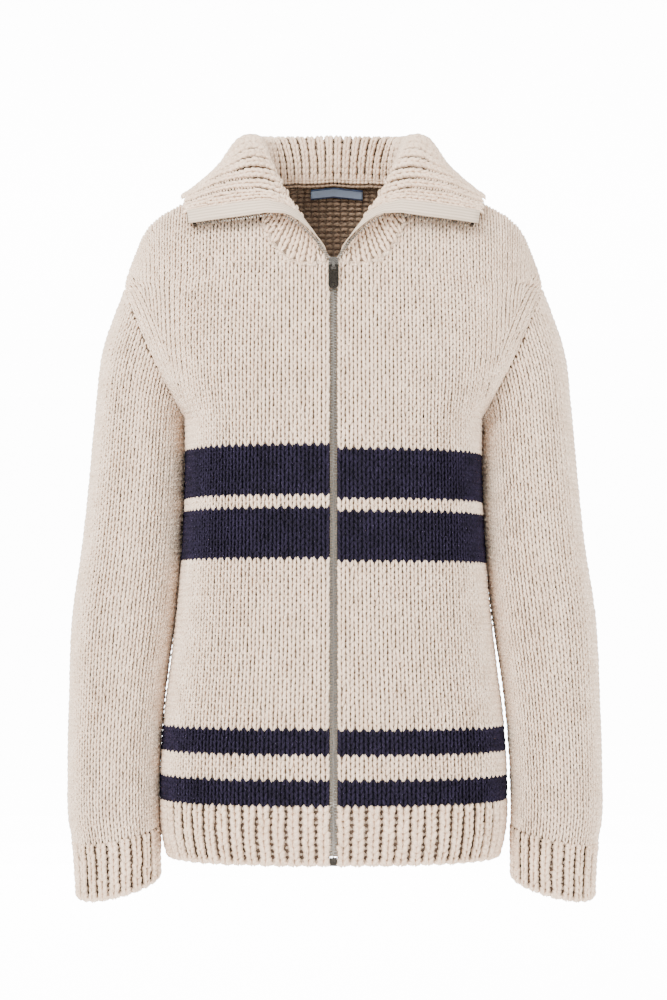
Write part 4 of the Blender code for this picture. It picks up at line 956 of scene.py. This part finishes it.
def makeStopBox():
    # the box that the zip starts from: its top edge is scalloped and catches the light
    wide, tall, bottom = stopBox["wide"], stopBox["tall"], body["hemBottom"]
    x = np.linspace(-wide / 2, wide / 2, 13)
    top = bottom + tall - stopBox["scallop"] * np.sin(x * 2 * math.pi / wide) ** 2
    nearSide = np.clip((np.abs(x) - wide / 2 + stopBox["corner"]) / stopBox["corner"], 0, 1)
    setBack = stopBox["cornerBack"] * nearSide**2
    face = bodySections(np.array([bottom + tall / 2]), np.array([0.0]), -1)[0, 0, 1] - stopBox["proud"]
    heights = np.linspace(0, 1, 6)
    z = bottom - stopBox["below"] + (top - bottom + stopBox["below"])[:, None] * heights
    lip = stopBox["lip"] * np.clip(heights * 3 - 2, 0, 1)
    front = np.stack([x[:, None] + 0 * z, face + setBack[:, None] - lip + 0 * z, z], axis=-1)
    back = front * (1, 0, 1) + (0, face + stopBox["deep"], 0)
    box = makeShell("stop_box_cast", front, back, [gunmetal], turn=True)
    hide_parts("stop_box")


makeStopBox()
# the slider takes the lighter copy of the gunmetal, a painted highlight; the other parts keep the plain one
finishes = {"slider": sliderPaintedHighlightMetal, "pull_tab": gunmetal, "stop_left": gunmetal, "stop_right": gunmetal}
for node, finish in finishes.items():
    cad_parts[node].data.materials.clear()
    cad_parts[node].data.materials.append(finish)
print("zip")

# The label: a plain woven strip, bare of any lettering
label = {"tall": 15.0, "left": -24.0, "right": 31.0, "thick": 0.8, "off": 1.1, "drop": 1.5}


def makeLabel():
    # shares run out from the centre back in either direction, levels down from the neckline there
    low = neckline(backSheet, 2)[1][0]
    run = lengths(backSheet.at(np.zeros(60), np.linspace(0.5, 1, 60)))[-1]
    levels = low - (label["drop"] + np.linspace(0, 1, 9) * label["tall"]) / run / 2
    width = -backSheet.at(np.array([0.1]), np.array([low]))[0, 0] / 0.1
    stations = -np.linspace(label["left"], label["right"], 24) / width
    shares, level = np.meshgrid(stations, levels, indexing="ij")
    face, away = backSheet.at(np.abs(shares), level), backSheet.normal(np.abs(shares), level)
    face[shares < 0] *= (-1, 1, 1)
    away[shares < 0] *= (-1, 1, 1)
    depth = body["wall"] + label["off"]
    strip = makeShell("neck_label_satin", face - depth * away, face - (depth + label["thick"]) * away,
                      [labelSatin], turn=True)
    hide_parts("neck_label")


makeLabel()
print("label")

# Light, backdrop and camera, in metres
studio = {
    "world": 1.05, "aim": (0, 0, -0.3),
    "lights": {"keyLight": (118.0, 1.2, (-1.2, -1.6, 1.1)), "fillLight": (44.0, 1.6, (1.7, -1.6, 0.3))},
    "floor": -0.95, "half": 6.0, "near": -3.2, "glowFrom": 0.6, "paperGlow": 10.0,
    "sweepFrom": 2.0, "sweep": 1.5, "tall": 5.0,
    "lens": 81.0, "away": 2.25, "eye": -0.427, "lookUp": 0.1,
}
world = bpy.data.worlds.new("softStudio")
world.use_nodes = True
world.node_tree.nodes["Background"].inputs["Color"].default_value = (1, 1, 1, 1)
world.node_tree.nodes["Background"].inputs["Strength"].default_value = studio["world"]
bpy.context.scene.world = world


def makeBackdrop():
    # a seamless sweep: a flat floor curves up into a wall behind; the wall and the floor's far part glow
    turn = np.linspace(0, math.pi / 2, 16)
    start, sweep = studio["sweepFrom"], studio["sweep"]
    y = np.concatenate([[studio["near"], studio["glowFrom"]], start + sweep * np.sin(turn), [start + sweep]])
    z = np.concatenate([[0.0, 0.0], sweep - sweep * np.cos(turn), [studio["tall"]]]) + studio["floor"]
    x = np.array([-studio["half"], studio["half"]])
    points = np.stack([np.repeat(x, len(y)), np.tile(y, 2), np.tile(z, 2)], axis=-1)
    mesh = bpy.data.meshes.new("backdrop")
    mesh.from_pydata(points.tolist(), [], gridQuads(np.arange(2 * len(y)).reshape(2, -1), False).tolist())
    for name, glow in (("paleStudioFloor", 0.0), ("litStudioPaper", studio["paperGlow"])):
        material, tree, shader = newMaterial(name, 0.9)
        shader.inputs["Base Color"].default_value = linear("#f2f2f2")
        shader.inputs["Emission Color"].default_value = linear("#ffffff")
        shader.inputs["Emission Strength"].default_value = glow
        mesh.materials.append(material)
    for face in mesh.polygons:
        face.material_index = int(face.center.y > studio["glowFrom"])
    backdrop = addObject("backdrop", mesh)


def makeLight(name, power, size, place):
    light = bpy.data.lights.new(name, "AREA")
    light.energy, light.size = power, size
    lamp = addObject(name, light)
    lamp.location = place
    lamp.rotation_mode = "QUATERNION"
    lamp.rotation_quaternion = (Vector(studio["aim"]) - Vector(place)).to_track_quat("-Z", "Y")


makeBackdrop()
for name, settings in studio["lights"].items():
    makeLight(name, *settings)

camera = bpy.data.cameras.new("camera")
camera.lens = studio["lens"]
viewer = addObject("camera", camera)
viewer.location = (0, -studio["away"], studio["eye"])
viewer.rotation_euler = (math.pi / 2 + math.atan(studio["lookUp"] / studio["away"]), 0, 0)
bpy.context.scene.camera = viewer
